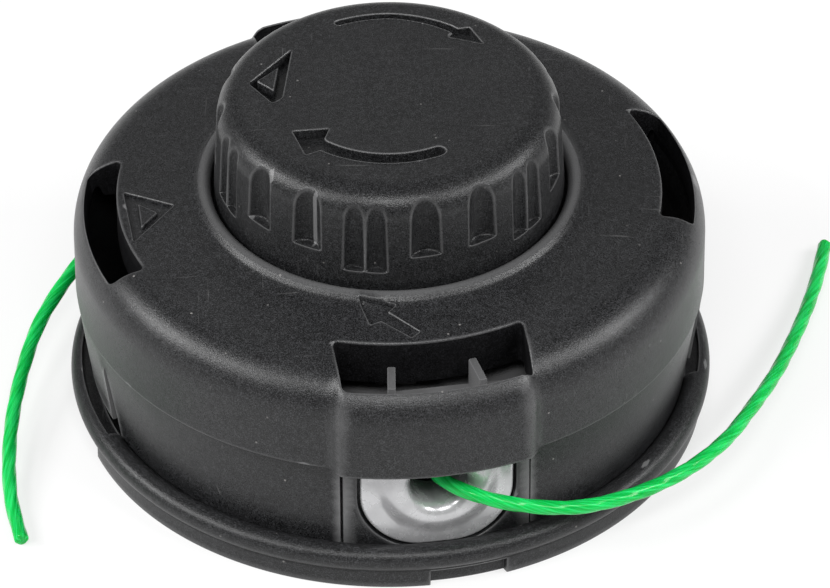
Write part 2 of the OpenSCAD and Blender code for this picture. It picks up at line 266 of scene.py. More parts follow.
def ramp(nt, src, stops):
    r = nt.nodes.new("ShaderNodeValToRGB")
    el = r.color_ramp.elements
    while len(el) > 1:
        el.remove(el[-1])
    el[0].position, el[0].color = stops[0][0], stops[0][1]
    for p, c in stops[1:]:
        e = el.new(p)
        e.color = c
    nt.links.new(src, r.inputs["Fac"])
    return r


def grey(v):
    return (v, v, v, 1.0)


def mixc(nt, fac, a, b, mode="MIX"):
    m = nt.nodes.new("ShaderNodeMix")
    m.data_type = "RGBA"
    m.blend_type = mode
    for k, x in (("Factor", fac), ("A", a), ("B", b)):
        sock = [s for s in m.inputs if s.name == k and (s.type == ("VALUE" if k == "Factor" else "RGBA"))][0]
        if hasattr(x, "is_linked") or hasattr(x, "links"):
            nt.links.new(x, sock)
        else:
            sock.default_value = x
    return [s for s in m.outputs if s.type == "RGBA"][0]


def mathn(nt, op, a, b=None, clamp=False):
    m = nt.nodes.new("ShaderNodeMath")
    m.operation = op
    m.use_clamp = clamp
    for i, x in enumerate((a, b)):
        if x is None:
            continue
        if hasattr(x, "links"):
            nt.links.new(x, m.inputs[i])
        else:
            m.inputs[i].default_value = x
    return m.outputs[0]


# edges sets the strength of the painted edge highlight
def nylon(name, base=(0.012, 0.0122, 0.013), rough=(0.24, 0.42), grain=0.80, dust=1.0, seed=0.0, spec=0.31, edges=0.85):
    """Black moulded nylon: fine grain, faint mottling, light dust specks, small scuffs and a painted highlight along
    sharp edges.
    """
    m, nt, bs, co = node_tree(name)
    mp = nt.nodes.new("ShaderNodeMapping")
    mp.inputs["Location"].default_value = (seed, seed * 1.7, seed * 0.6)
    nt.links.new(co.outputs["Object"], mp.inputs["Vector"])
    vec = mp.outputs["Vector"]
    fine = noise(nt, co, 5200.0, 1.0, 0.5, vec)
    mid = noise(nt, co, 1300.0, 3.0, 0.55, vec)
    big = noise(nt, co, 60.0, 4.0, 0.6, vec)
    cloud = noise(nt, co, 190.0, 5.0, 0.65, vec)
    # colour: almost black, grained, with a light mottling
    stip = mathn(nt, "ADD", mathn(nt, "MULTIPLY", fine.outputs["Fac"], 0.72), mathn(nt, "MULTIPLY", mid.outputs["Fac"], 0.28))
    c1 = ramp(nt, stip, [(0.36, (*[b * 0.25 for b in base], 1)), (0.50, (*[b * 0.9 for b in base], 1)), (0.66, (*[b * 3.0 for b in base], 1))])
    c2 = ramp(nt, cloud.outputs["Fac"], [(0.42, grey(0.0)), (0.78, grey(0.10))])
    col = mixc(nt, mathn(nt, "MULTIPLY", c2.outputs["Color"], 0.35), c1.outputs["Color"], (0.10, 0.10, 0.10, 1))
    # painted highlight: sharp edges (high pointiness) are made paler, standing in for light caught on rounded edges
    geo = nt.nodes.new("ShaderNodeNewGeometry")
    edge = ramp(nt, geo.outputs["Pointiness"], [(0.508, grey(0.0)), (0.57, grey(1.0))])
    col = mixc(nt, mathn(nt, "MULTIPLY", edge.outputs["Color"], edges), col, (0.13, 0.13, 0.132, 1))
    # dust specks
    vor = nt.nodes.new("ShaderNodeTexVoronoi")
    vor.inputs["Scale"].default_value = 420.0
    vor.inputs["Randomness"].default_value = 1.0
    nt.links.new(vec, vor.inputs["Vector"])
    sp = ramp(nt, vor.outputs["Distance"], [(0.0, grey(1.0)), (0.055, grey(1.0)), (0.10, grey(0.0))])
    pick = ramp(nt, noise(nt, co, 300.0, 1.0, 0.5, vec).outputs["Fac"], [(0.60, grey(0.0)), (0.68, grey(1.0))])
    speck = mathn(nt, "MULTIPLY", mathn(nt, "MULTIPLY", sp.outputs["Color"], pick.outputs["Color"]), 0.55 * dust)
    col = mixc(nt, speck, col, (0.30, 0.29, 0.28, 1))
    # rubbed marks: short pale hair lines in two directions
    rubs = None
    for ang, sc, off in ((0.5, (55.0, 1500.0, 300.0), 0.0), (2.1, (1300.0, 70.0, 300.0), 3.0)):
        m2 = nt.nodes.new("ShaderNodeMapping")
        m2.inputs["Rotation"].default_value = (0.0, 0.0, ang)
        m2.inputs["Scale"].default_value = sc
        m2.inputs["Location"].default_value = (off, off, seed)
        nt.links.new(vec, m2.inputs["Vector"])
        q = noise(nt, co, 1.0, 2.0, 0.5, m2.outputs["Vector"])
        hair = ramp(nt, q.outputs["Fac"], [(0.70, grey(0.0)), (0.745, grey(1.0)), (0.79, grey(0.3))])
        rubs = hair.outputs["Color"] if rubs is None else mathn(nt, "ADD", rubs, hair.outputs["Color"], True)
    where = ramp(nt, noise(nt, co, 85.0, 3.0, 0.6, vec).outputs["Fac"], [(0.50, grey(0.0)), (0.66, grey(1.0))])
    rub = mathn(nt, "MULTIPLY", mathn(nt, "MULTIPLY", rubs, where.outputs["Color"]), 0.42 * dust)
    col = mixc(nt, rub, col, (0.13, 0.13, 0.13, 1))
    nt.links.new(col, bs.inputs["Base Color"])
    # roughness
    r1 = nt.nodes.new("ShaderNodeMapRange")
    r1.inputs["From Min"].default_value, r1.inputs["From Max"].default_value = 0.3, 0.7
    r1.inputs["To Min"].default_value, r1.inputs["To Max"].default_value = rough
    nt.links.new(mathn(nt, "ADD", mathn(nt, "MULTIPLY", fine.outputs["Fac"], 0.60), mathn(nt, "MULTIPLY", big.outputs["Fac"], 0.40)), r1.inputs["Value"])
    nt.links.new(r1.outputs["Result"], bs.inputs["Roughness"])
    bs.inputs["Specular IOR Level"].default_value = spec
    bs.inputs["IOR"].default_value = 1.52
    # grain
    b1 = nt.nodes.new("ShaderNodeBump")
    b1.inputs["Strength"].default_value = grain
    b1.inputs["Distance"].default_value = 0.00006
    nt.links.new(mathn(nt, "ADD", mathn(nt, "MULTIPLY", fine.outputs["Fac"], 0.85), mathn(nt, "MULTIPLY", mid.outputs["Fac"], 0.20)), b1.inputs["Height"])
    b2 = nt.nodes.new("ShaderNodeBump")
    b2.inputs["Strength"].default_value = 0.25
    b2.inputs["Distance"].default_value = 0.0003
    nt.links.new(big.outputs["Fac"], b2.inputs["Height"])
    nt.links.new(b1.outputs["Normal"], b2.inputs["Normal"])
    nt.links.new(b2.outputs["Normal"], bs.inputs["Normal"])
    return m


def metal(name, base=(0.80, 0.80, 0.81), rough=(0.16, 0.30), scratch=0.12, metallic=1.0, seed=0.0):
    """Pressed bright metal with faint mottling and rubbed marks."""
    m, nt, bs, co = node_tree(name)
    mp = nt.nodes.new("ShaderNodeMapping")
    mp.inputs["Location"].default_value = (seed, seed * 0.7, seed * 1.3)
    nt.links.new(co.outputs["Object"], mp.inputs["Vector"])
    vec = mp.outputs["Vector"]
    a = noise(nt, co, 350.0, 5.0, 0.6, vec)
    b = noise(nt, co, 1600.0, 3.0, 0.6, vec)
    c = ramp(nt, a.outputs["Fac"], [(0.30, (*[x * 0.80 for x in base], 1)), (0.62, (*base, 1))])
    nt.links.new(c.outputs["Color"], bs.inputs["Base Color"])
    bs.inputs["Metallic"].default_value = metallic
    mr = nt.nodes.new("ShaderNodeMapRange")
    mr.inputs["From Min"].default_value, mr.inputs["From Max"].default_value = 0.35, 0.70
    mr.inputs["To Min"].default_value, mr.inputs["To Max"].default_value = rough
    nt.links.new(a.outputs["Fac"], mr.inputs["Value"])
    nt.links.new(mr.outputs["Result"], bs.inputs["Roughness"])
    bp = nt.nodes.new("ShaderNodeBump")
    bp.inputs["Strength"].default_value = scratch
    bp.inputs["Distance"].default_value = 0.0001
    nt.links.new(mathn(nt, "ADD", mathn(nt, "MULTIPLY", a.outputs["Fac"], 0.6), mathn(nt, "MULTIPLY", b.outputs["Fac"], 0.4)), bp.inputs["Height"])
    nt.links.new(bp.outputs["Normal"], bs.inputs["Normal"])
    return m


def line_material(name):
    """Bright green, slightly clear nylon line with lighter and darker streaks along its twist, painted highlight and
    shade.
    """
    m, nt, bs, co = node_tree(name)
    # painted highlight and shade streaks follow the twist of the line
    at = nt.nodes.new("ShaderNodeAttribute")
    at.attribute_name = "streak"
    n1 = noise(nt, co, 220.0, 3.0, 0.5)
    n2 = noise(nt, co, 3.2, 3.0, 0.6, at.outputs["Vector"])
    c = ramp(nt, n1.outputs["Fac"], [(0.30, (0.0, 0.36, 0.045, 1)), (0.70, (0.001, 0.50, 0.080, 1))])
    # st: the lighter streaks are painted highlight, the darker ones painted shade
    st = ramp(nt, n2.outputs["Fac"], [(0.44, grey(0.0)), (0.62, grey(1.0))])
    painted_shade_streak = ramp(nt, n2.outputs["Fac"], [(0.30, grey(1.0)), (0.44, grey(0.0))])
    col = mixc(nt, mathn(nt, "MULTIPLY", st.outputs["Color"], 0.60), c.outputs["Color"], (0.030, 0.76, 0.20, 1))
    col = mixc(nt, mathn(nt, "MULTIPLY", painted_shade_streak.outputs["Color"], 0.55), col, (0.0, 0.26, 0.035, 1))
    nt.links.new(col, bs.inputs["Base Color"])
    bs.inputs["Specular IOR Level"].default_value = 0.18
    bs.inputs["Subsurface Weight"].default_value = 0.45
    bs.inputs["Subsurface Radius"].default_value = (0.0003, 0.0018, 0.0006)
    bs.inputs["Subsurface Scale"].default_value = 1.0
    bs.inputs["Transmission Weight"].default_value = 0.12
    bs.inputs["IOR"].default_value = 1.53
    r = nt.nodes.new("ShaderNodeMapRange")
    r.inputs["To Min"].default_value, r.inputs["To Max"].default_value = 0.14, 0.30
    nt.links.new(n1.outputs["Fac"], r.inputs["Value"])
    nt.links.new(r.outputs["Result"], bs.inputs["Roughness"])
    bp = nt.nodes.new("ShaderNodeBump")
    bp.inputs["Strength"].default_value = 0.12
    bp.inputs["Distance"].default_value = 0.0001
    nt.links.new(n2.outputs["Fac"], bp.inputs["Height"])
    nt.links.new(bp.outputs["Normal"], bs.inputs["Normal"])
    return m


M_COVER = nylon("cover_nylon", seed=0.0)
M_KNOB = nylon("knob_nylon", base=(0.0095, 0.0097, 0.0103), rough=(0.24, 0.42), grain=0.75, dust=0.8, seed=0.21)
M_HOUSING = nylon("housing_nylon", rough=(0.28, 0.46), seed=0.43)
M_SPOOL = nylon("spool_nylon", base=(0.010, 0.010, 0.011), rough=(0.50, 0.68), dust=0.2, seed=0.77)
# darker, duller nylon for the window wells' walls: painted shade in the recess
M_WELL_PAINTED_SHADE = nylon("well_nylon_painted_shade", base=(0.0035, 0.0035, 0.004), rough=(0.48, 0.66), dust=0.1, seed=0.1, spec=0.12, edges=0.0)
M_EYE = metal("eyelet_metal", base=(0.52, 0.52, 0.53), rough=(0.20, 0.34), scratch=0.16, metallic=0.45)
M_STEEL = metal("steel", base=(0.50, 0.50, 0.52), rough=(0.28, 0.45), scratch=0.2, seed=0.3)
M_LINE = line_material("line_green")

# ---------------------------------------------------------------- the two line ends
ROUTES = {
    "front": [
        (5.8, -41.1, 18.3), (8.1, -45.4, 17.9), (13.1, -49.3, 17.9), (20.6, -48.9, 15.2),
        (29.8, -46.9, 13.0), (38.9, -41.8, 11.3), (47.3, -34.1, 9.6), (54.0, -25.0, 8.2),
        (58.8, -15.0, 6.8), (63.0, -5.0, 5.5), (66.3, 5.0, 4.2), (69.1, 14.8, 3.1), (71.4, 24.6, 2.1),
        (73.2, 34.6, 1.3)],
    "rear": [
        (-5.8, 41.1, 18.5), (-8.1, 45.4, 18.2), (-13.0, 49.3, 18.0), (-21.0, 49.1, 16.0),
        (-30.1, 45.4, 14.5), (-37.6, 39.4, 13.0), (-43.9, 31.9, 11.5), (-49.6, 24.2, 9.9),
        (-54.5, 16.2, 8.1), (-58.2, 7.6, 6.5), (-60.4, -2.0, 5.1), (-61.7, -12.2, 3.9),
        (-62.0, -22.0, 2.8), (-61.3, -31.5, 2.0), (-59.3, -40.6, 1.3)],
}


def catmull(p, per):
    p = np.asarray(p, float)
    out, n = [], len(p)
    for i in range(n - 1):
        a, b, c, d = p[max(i - 1, 0)], p[i], p[i + 1], p[min(i + 2, n - 1)]
        for k in range(per):
            u = k / per
            out.append(0.5 * ((2 * b) + (c - a) * u + (2 * a - 5 * b + 4 * c - d) * u * u + (3 * b - a - 3 * c + d) * u ** 3))
    out.append(p[-1])
    return np.array(out)


STREAK = []          # filled by swept(): where each point lies round and along the line


def swept(path, radius_fn, sides, twist_per_mm, start_round=0.25):
    """A tube along path. radius_fn(angle) is the section's radius; the section turns as it goes."""
    d = np.gradient(path, axis=0)
    t = d / np.linalg.norm(d, axis=1)[:, None]
    s = np.concatenate([[0], np.cumsum(np.linalg.norm(np.diff(path, axis=0), axis=1))])
    up = np.array([0.0, 0.0, 1.0])
    nrm = up - t[0] * (up @ t[0])
    nrm /= np.linalg.norm(nrm)
    V = []
    STREAK.clear()
    total = s[-1]
    for i in range(len(path)):
        nrm = nrm - t[i] * (nrm @ t[i])
        nrm /= np.linalg.norm(nrm)
        bi = np.cross(t[i], nrm)
        # the cut ends are very slightly rounded
        e = min(s[i], total - s[i])
        k = 1.0 if e > start_round else 0.90 + 0.10 * math.sqrt(max(0.0, 1 - (1 - e / start_round) ** 2))
        for j in range(sides):
            a = 2 * math.pi * j / sides
            r = radius_fn(a - twist_per_mm * s[i]) * k
            V.append(path[i] + r * (math.cos(a) * nrm + math.sin(a) * bi))
            b = a - twist_per_mm * s[i]
            STREAK.append((math.cos(b), math.sin(b), s[i] / 30.0))
    F = grid_faces(len(path), sides)
    n = len(path)
    V = list(V)
    V.append(path[0]); V.append(path[-1])
    c0, c1 = len(V) - 2, len(V) - 1
    F += [(c0, (j + 1) % sides, j) for j in range(sides)]
    F += [(c1, (n - 1) * sides + j, (n - 1) * sides + (j + 1) % sides) for j in range(sides)]
    return np.array(V), F, total


def line_section(a):
    # a rounded square, as twisted line has
    return 1.2 * (0.955 + 0.045 * math.cos(4 * a) - 0.012 * math.cos(8 * a))


LINE_LENGTH = {}
for side, exit_i in (("front", 0), ("rear", 0)):
    dense = catmull(ROUTES[side], 24)
    # even spacing, with close rings at both ends
    s = np.concatenate([[0], np.cumsum(np.linalg.norm(np.diff(dense, axis=0), axis=1))])
    want = np.concatenate([[0, 0.06, 0.14, 0.25], np.arange(0.7, s[-1] - 0.5, 0.55), s[-1] - np.array([0.25, 0.14, 0.06, 0.0])])
    path = np.stack([np.interp(want, s, dense[:, k]) for k in range(3)], -1)
    V, F, total = swept(path, line_section, 28, 2 * math.pi / 27.0)
    LINE_LENGTH[side] = total
    tail = new_object("line_end_" + side, V, F, M_LINE, "root", replaces=("line_tail_" + side,), flat=50)
    sa = tail.data.attributes.new("streak", "FLOAT_VECTOR", "POINT")
    sv = STREAK + [STREAK[0], STREAK[-1]]
    if len(sv) == len(tail.data.vertices):
        sa.data.foreach_set("vector", [c for p in sv for c in p])

# ---------------------------------------------------------------- cover
H_MAX = 1.99          # how far the hoods stand out
H_HALF, H_EDGE = 16.65, 3.6
R_COLLAR = 28.8
Z_EDGE = 24.0
WALL_T = 2.2
EDGE_R = 0.45


def hood(theta):
    """How far the hood pushes the surface out, by direction."""
    h = np.zeros_like(np.asarray(theta, float))
    for c in (EYE - 0.85, EYE - 180.85):
        d = np.abs(wrap(theta - c))
        h = np.maximum(h, H_MAX * (1 - smooth(H_HALF - 0.4, H_HALF + H_EDGE - 0.4, d)))
    return h


def near_tab(theta):
    """Direction relative to the nearer tab, and to the nearer eyelet."""
    dt = wrap(theta - TAB)
    dt = np.where(np.abs(dt) > 90, wrap(theta - TAB - 180), dt)
    de = wrap(theta - EYE)
    de = np.where(np.abs(de) > 90, wrap(theta - EYE - 180), de)
    return dt, de


TAB_HALF = 15.4
SLIT_TOP = 20.4


def r_low(theta, z):
    """Radius of the cover's side below the skirt's edge: the tabs slope in from the skirt, and the
    walls between them and the eyelet blocks stand upright at the block and lean out at the tab."""
    theta = np.asarray(theta, float)
    z = np.asarray(z, float)
    dt, de = near_tab(theta)
    t = np.clip((np.abs(dt) - TAB_HALF) / (71.8 - TAB_HALF), 0, 1)
    lean = 2.75 * (1 - t) ** 1.15
    up = np.clip((z - 5.0) / 19.0, 0, 1.2) ** 1.15
    wall_r = 48.2 + 0.08 * (1 - t) + lean * up
    tab_r = 51.2 - 0.1301 * (24.0 - z)
    half = 0.04 + 1.9 * smooth(SLIT_TOP, 24.0, z)
    w = smooth(TAB_HALF - half, TAB_HALF + half, np.abs(dt))
    return tab_r * (1 - w) + wall_r * w


# profile of the outside from the collar's bore outwards, down to the skirt's edge
def cone_z(r):
    return 41.0 + (43.9 - r) * 0.0952


SH_C = (43.7, 33.5)
SH_R = 7.5


def outer_profile():
    pts = []
    pts += [(R_COLLAR, z) for z in np.linspace(38.4, 42.2, 6)]
    pts += arc(30.05, 42.25, 1.25, 178, 18, 14)[0:]
    # concave run from the lip down to the cone
    r0, z0 = pts[-1]
    for k in range(1, 9):
        u = k / 8
        r = r0 + (33.2 - r0) * u
        ztop = cone_z(r)
        z = z0 * (1 - u) ** 2.6 + ztop * (1 - (1 - u) ** 2.6)
        pts.append((r, z))
    for r in np.arange(34.0, 43.9, 0.9):
        pts.append((r, cone_z(r)))
    a_top = 90 - math.degrees(math.atan(0.0952))
    pts += arc(SH_C[0], SH_C[1], SH_R, a_top, 0, 26)
    for z in np.arange(32.6, Z_EDGE + EDGE_R, -1.0):
        pts.append((51.2, z))
    pts.append((51.2, Z_EDGE + EDGE_R))
    pts = np.array(pts)
    d = np.hypot(*np.diff(pts, axis=0).T)
    keep = np.concatenate([[True], d > 1e-6])
    return pts[keep]


OP = outer_profile()
OV = np.concatenate([[0], np.cumsum(np.hypot(*np.diff(OP, axis=0).T))])
V_SK = OV[-1]                    # end of the straight skirt
V_ED = V_SK + 0.7                # end of the rounding at the skirt's edge
V_LE = V_ED + 1.3                # end of the ledge
Z_BOT = 3.9
V_END = V_LE + (Z_EDGE - 0.3 - Z_BOT)
Z_TAB = 9.5


def blend_h(r):
    return smooth(36.5, 44.5, r)


def surf_out(theta, v):
    """Outside of the cover: direction in degrees and run along the profile, to (r, z)."""
    theta = np.asarray(theta, float)
    v = np.asarray(v, float)
    h = hood(theta)
    vv = np.minimum(v, V_SK)
    r = np.interp(vv, OV, OP[:, 0])
    z = np.interp(vv, OV, OP[:, 1])
    b = np.where(vv > 12, blend_h(r), 0.0)
    r = r + h * b
    rs = 51.2 + h
    step = np.maximum(rs - r_low(theta, 23.9), 0.0)
    e = np.minimum(EDGE_R, step * 0.5)
    # rounding at the edge
    u = np.clip((v - V_SK) / (V_ED - V_SK), 0, 1)
    a = u * math.pi / 2
    zr = Z_EDGE + EDGE_R - (EDGE_R - 0.0) * np.sin(a)
    rr = rs - e * (1 - np.cos(a))
    m = v > V_SK
    r = np.where(m, rr, r)
    z = np.where(m, zr, z)
    # ledge, ending in a small hollow
    u = np.clip((v - V_ED) / (V_LE - V_ED), 0, 1)
    rl = r_low(theta, 23.7)
    m = v > V_ED
    r = np.where(m, (rs - e) * (1 - u) + rl * u, r)
    z = np.where(m, Z_EDGE - 0.3 * smooth(0.25, 1.0, u), z)
    # low wall
    zz = Z_EDGE - 0.3 - (v - V_LE)
    m = v > V_LE
    r = np.where(m, r_low(theta, zz), r)
    z = np.where(m, zz, z)
    return r, z


IN_R = SH_R - WALL_T


def inner_profile():
    pts = [(31.2, 38.4), (31.2, 39.0)]
    for r in np.arange(32.0, 43.9, 1.5):
        pts.append((r, cone_z(r) - WALL_T))
    a_top = 90 - math.degrees(math.atan(0.0952))
    pts += arc(SH_C[0], SH_C[1], IN_R, a_top, 0, 12)
    for z in np.arange(32.0, 27.0, -1.6):
        pts.append((49.0, z))
    pts.append((49.0, 27.0))
    return np.array(pts)


IP = inner_profile()
IV = np.concatenate([[0], np.cumsum(np.hypot(*np.diff(IP, axis=0).T))])
W_END = IV[-1]


def wall_side(theta):
    """1 where the cover has a low wall or a tab below the skirt, 0 behind the hoods."""
    _, de = near_tab(theta)
    return smooth(SEAM_LO - 1.2, SEAM_LO, np.abs(de))


SEAM_LO = 18.75


def surf_in(theta, v):
    theta = np.asarray(theta, float)
    v = np.asarray(v, float)
    h = hood(theta)
    vv = np.minimum(v, W_END)
    r = np.interp(vv, IV, IP[:, 0])
    z = np.interp(vv, IV, IP[:, 1])
    r = r + h * smooth(36.5, 44.0, r)
    zz = 27.0 - (v - W_END)
    m = v > W_END
    low = r_low(theta, np.minimum(zz, 24.0)) - 1.9
    up = 49.0 + h
    w = smooth(0.0, 2.6, 27.0 - zz) * wall_side(theta)
    r = np.where(m, up * (1 - w) + low * w, r)
    z = np.where(m, zz, z)
    return r, z


def inv_out(theta, r):
    """Run along the outside profile where the top or shoulder has this radius."""
    res = []
    grid = np.linspace(4.6, OV[np.argmax(OP[:, 0] >= 51.19)] if (OP[:, 0] >= 51.19).any() else V_SK, 340)
    for th, rr in zip(np.ravel(theta), np.ravel(r)):
        R, _ = surf_out(np.full_like(grid, th), grid)
        res.append(np.interp(rr, R, grid))
    return np.array(res)


def inv_in(theta, r):
    res = []
    grid = np.linspace(0.8, IV[np.argmax(IP[:, 0] >= 48.99)], 200)
    for th, rr in zip(np.ravel(theta), np.ravel(r)):
        R, _ = surf_in(np.full_like(grid, th), grid)
        res.append(np.interp(rr, R, grid))
    return np.array(res)


def window_loop(r_in, r_out, half, corner=1.3, taper=0.0, n_arc=34, n_side=12, n_c=7):
    """Closed outline of a window in its own plan frame (x out, y across), counter-clockwise."""
    a_i, a_o = math.asin(half / r_in), math.asin(half / r_out)
    c = [np.array((r_in * math.cos(a_i), -half)), np.array((r_out * math.cos(a_o), -half)),
         np.array((r_out * math.cos(a_o), half)), np.array((r_in * math.cos(a_i), half))]

    def on_arc(r, y):
        return np.array((math.sqrt(r * r - y * y), y))

    k = corner
    pts = []
    # side at -half, from the inner to the outer corner
    p0, p1 = c[0] + (k, 0), c[1] - (k * 0.8, 0)
    pts += [p0 + (p1 - p0) * i / n_side for i in range(n_side)]
    # outer corner
    q = on_arc(r_out, -half + k * 0.8)
    pts += [p1 * (1 - t) ** 2 + c[1] * 2 * t * (1 - t) + q * t * t for t in np.linspace(0, 1, n_c, endpoint=False)]
    ys = np.linspace(-half + k * 0.8, half - k * 0.8, n_arc)
    pts += [on_arc(r_out, y) for y in ys[:-1]]
    q0, q1 = on_arc(r_out, half - k * 0.8), c[2] - (k * 0.8, 0)
    pts += [q0 * (1 - t) ** 2 + c[2] * 2 * t * (1 - t) + q1 * t * t for t in np.linspace(0, 1, n_c, endpoint=False)]
    p0, p1 = q1, c[3] + (k, 0)
    pts += [p0 + (p1 - p0) * i / n_side for i in range(n_side)]
    q = on_arc(r_in, half - k)
    pts += [p1 * (1 - t) ** 2 + c[3] * 2 * t * (1 - t) + q * t * t for t in np.linspace(0, 1, n_c, endpoint=False)]
    ys = np.linspace(half - k, -half + k, n_arc)
    pts += [on_arc(r_in, y) for y in ys[:-1]]
    q0, q1 = on_arc(r_in, -half + k), c[0] + (k, 0)
    pts += [q0 * (1 - t) ** 2 + c[0] * 2 * t * (1 - t) + q1 * t * t for t in np.linspace(0, 1, n_c, endpoint=False)]
    return np.array(pts)


def to_polar(P, turn):
    th = np.degrees(np.arctan2(P[:, 1], P[:, 0])) + turn
    return th, np.hypot(P[:, 0], P[:, 1])


U = 0.88             # millimetres of domain width for each degree
TH0 = 54.0           # where the domain is cut open


def dom(theta):
    """Domain x for a direction."""
    return ((np.asarray(theta, float) - TH0) % 360.0) * U


WINDOWS = []
for turn, r_in, r_out, half, kind in (
        (EYE, 40.4, 50.2, 15.2, "front"), (EYE - 180, 40.4, 50.2, 15.2, "front"),
        (TAB, 44.1, 49.4, 14.3, "side"), (TAB + 180, 44.1, 49.4, 14.3, "side")):
    WINDOWS.append((turn, r_in, r_out, half, kind))

# marks on the top: closed outlines in plan (mm), raised or sunk by a small amount
def pol(r, a):
    return (r * math.cos(rad(a)), r * math.sin(rad(a)))


def soft_poly(poly, cut=0.3, step=0.45):
    """A closed outline with its corners rounded and its points close together."""
    P = [np.array(p, float) for p in poly]
    n = len(P)
    out = []
    for i in range(n):
        a, b, c = P[i - 1], P[i], P[(i + 1) % n]
        la, lc = np.linalg.norm(a - b), np.linalg.norm(c - b)
        k = min(cut, la * 0.4, lc * 0.4)
        p, q = b + (a - b) / la * k, b + (c - b) / lc * k
        out += [tuple(p * (1 - t) ** 2 + b * 2 * t * (1 - t) + q * t * t) for t in (0.0, 0.25, 0.5, 0.75, 1.0)]
    res = []
    m = len(out)
    for i in range(m):
        a, b = np.array(out[i]), np.array(out[(i + 1) % m])
        L = np.linalg.norm(b - a)
        if L < 1e-6:
            continue
        k = max(1, int(round(L / step)))
        res += [tuple(a + (b - a) * j / k) for j in range(k)]
    R = np.array(res)
    x, y = R[:, 0], R[:, 1]
    if 0.5 * np.sum(x * np.roll(y, -1) - np.roll(x, -1) * y) < 0:
        R = R[::-1]
    return R


MARK_STEPS = (0.42, 0.26, 0.13, 0.02, -0.05, -0.14)        # outline offsets that get a loop each


class Mark:
    """A pocket pressed into a face, with islands left standing in it."""

    def __init__(self, outline, islands=(), depth=0.5, cut=0.3):
        self.out = soft_poly(outline, cut)
        self.isl = [soft_poly(i, cut * 0.8) for i in islands]
        self.depth = depth

    def loops(self):
        res = [offset_loop(self.out, d) for d in MARK_STEPS]
        for i in self.isl:
            res += [offset_loop(i, -d) for d in MARK_STEPS[1:]]
        return res

    def signed(self, P):
        def one(a):
            d = dist_to_poly(P[:, 0], P[:, 1], a)
            return np.where(point_in_poly(P[:, 0], P[:, 1], a), d, -d)

        s = one(self.out)
        for i in self.isl:
            s = np.minimum(s, -one(i))
        return s

    def lower(self, P):
        s = self.signed(P)
        return np.interp(s, [-0.42, -0.26, -0.13, -0.02, 0.05, 0.135], [0.0, 0.045, 0.085, 0.0, -0.2, -self.depth])

    def near(self, P, d):
        c = self.out.mean(0)
        r = np.hypot(*(self.out - c).T).max() + d + 0.5
        res = np.zeros(len(P), bool)
        m = np.hypot(P[:, 0] - c[0], P[:, 1] - c[1]) < r
        if m.any():
            res[m] = np.abs(self.signed(P[m])) < d
        return res


def mark_height(marks, x, y):
    P = np.stack([x, y], -1)
    dz = np.zeros(len(P))
    for k in marks:
        c = k.out.mean(0)
        r = np.hypot(*(k.out - c).T).max() + 1.0
        m = np.hypot(x - c[0], y - c[1]) < r
        if m.any():
            dz[m] += k.lower(P[m])
    return dz


COVER_MARKS = [
    Mark([pol(42.86, 181.5), pol(43.17, 198.7), pol(35.1, 188.9)], [[pol(40.7, 186.2), pol(41.1, 194.7), pol(37.9, 190.6)]], 0.6, 0.5),
    Mark([pol(30.95, 261.1), pol(36.15, 265.2), pol(35.23, 268.0), pol(39.1, 275.2), pol(37.94, 277.2), pol(33.31, 269.6), pol(31.8, 271.8)],
         [], 0.55, 0.25)]


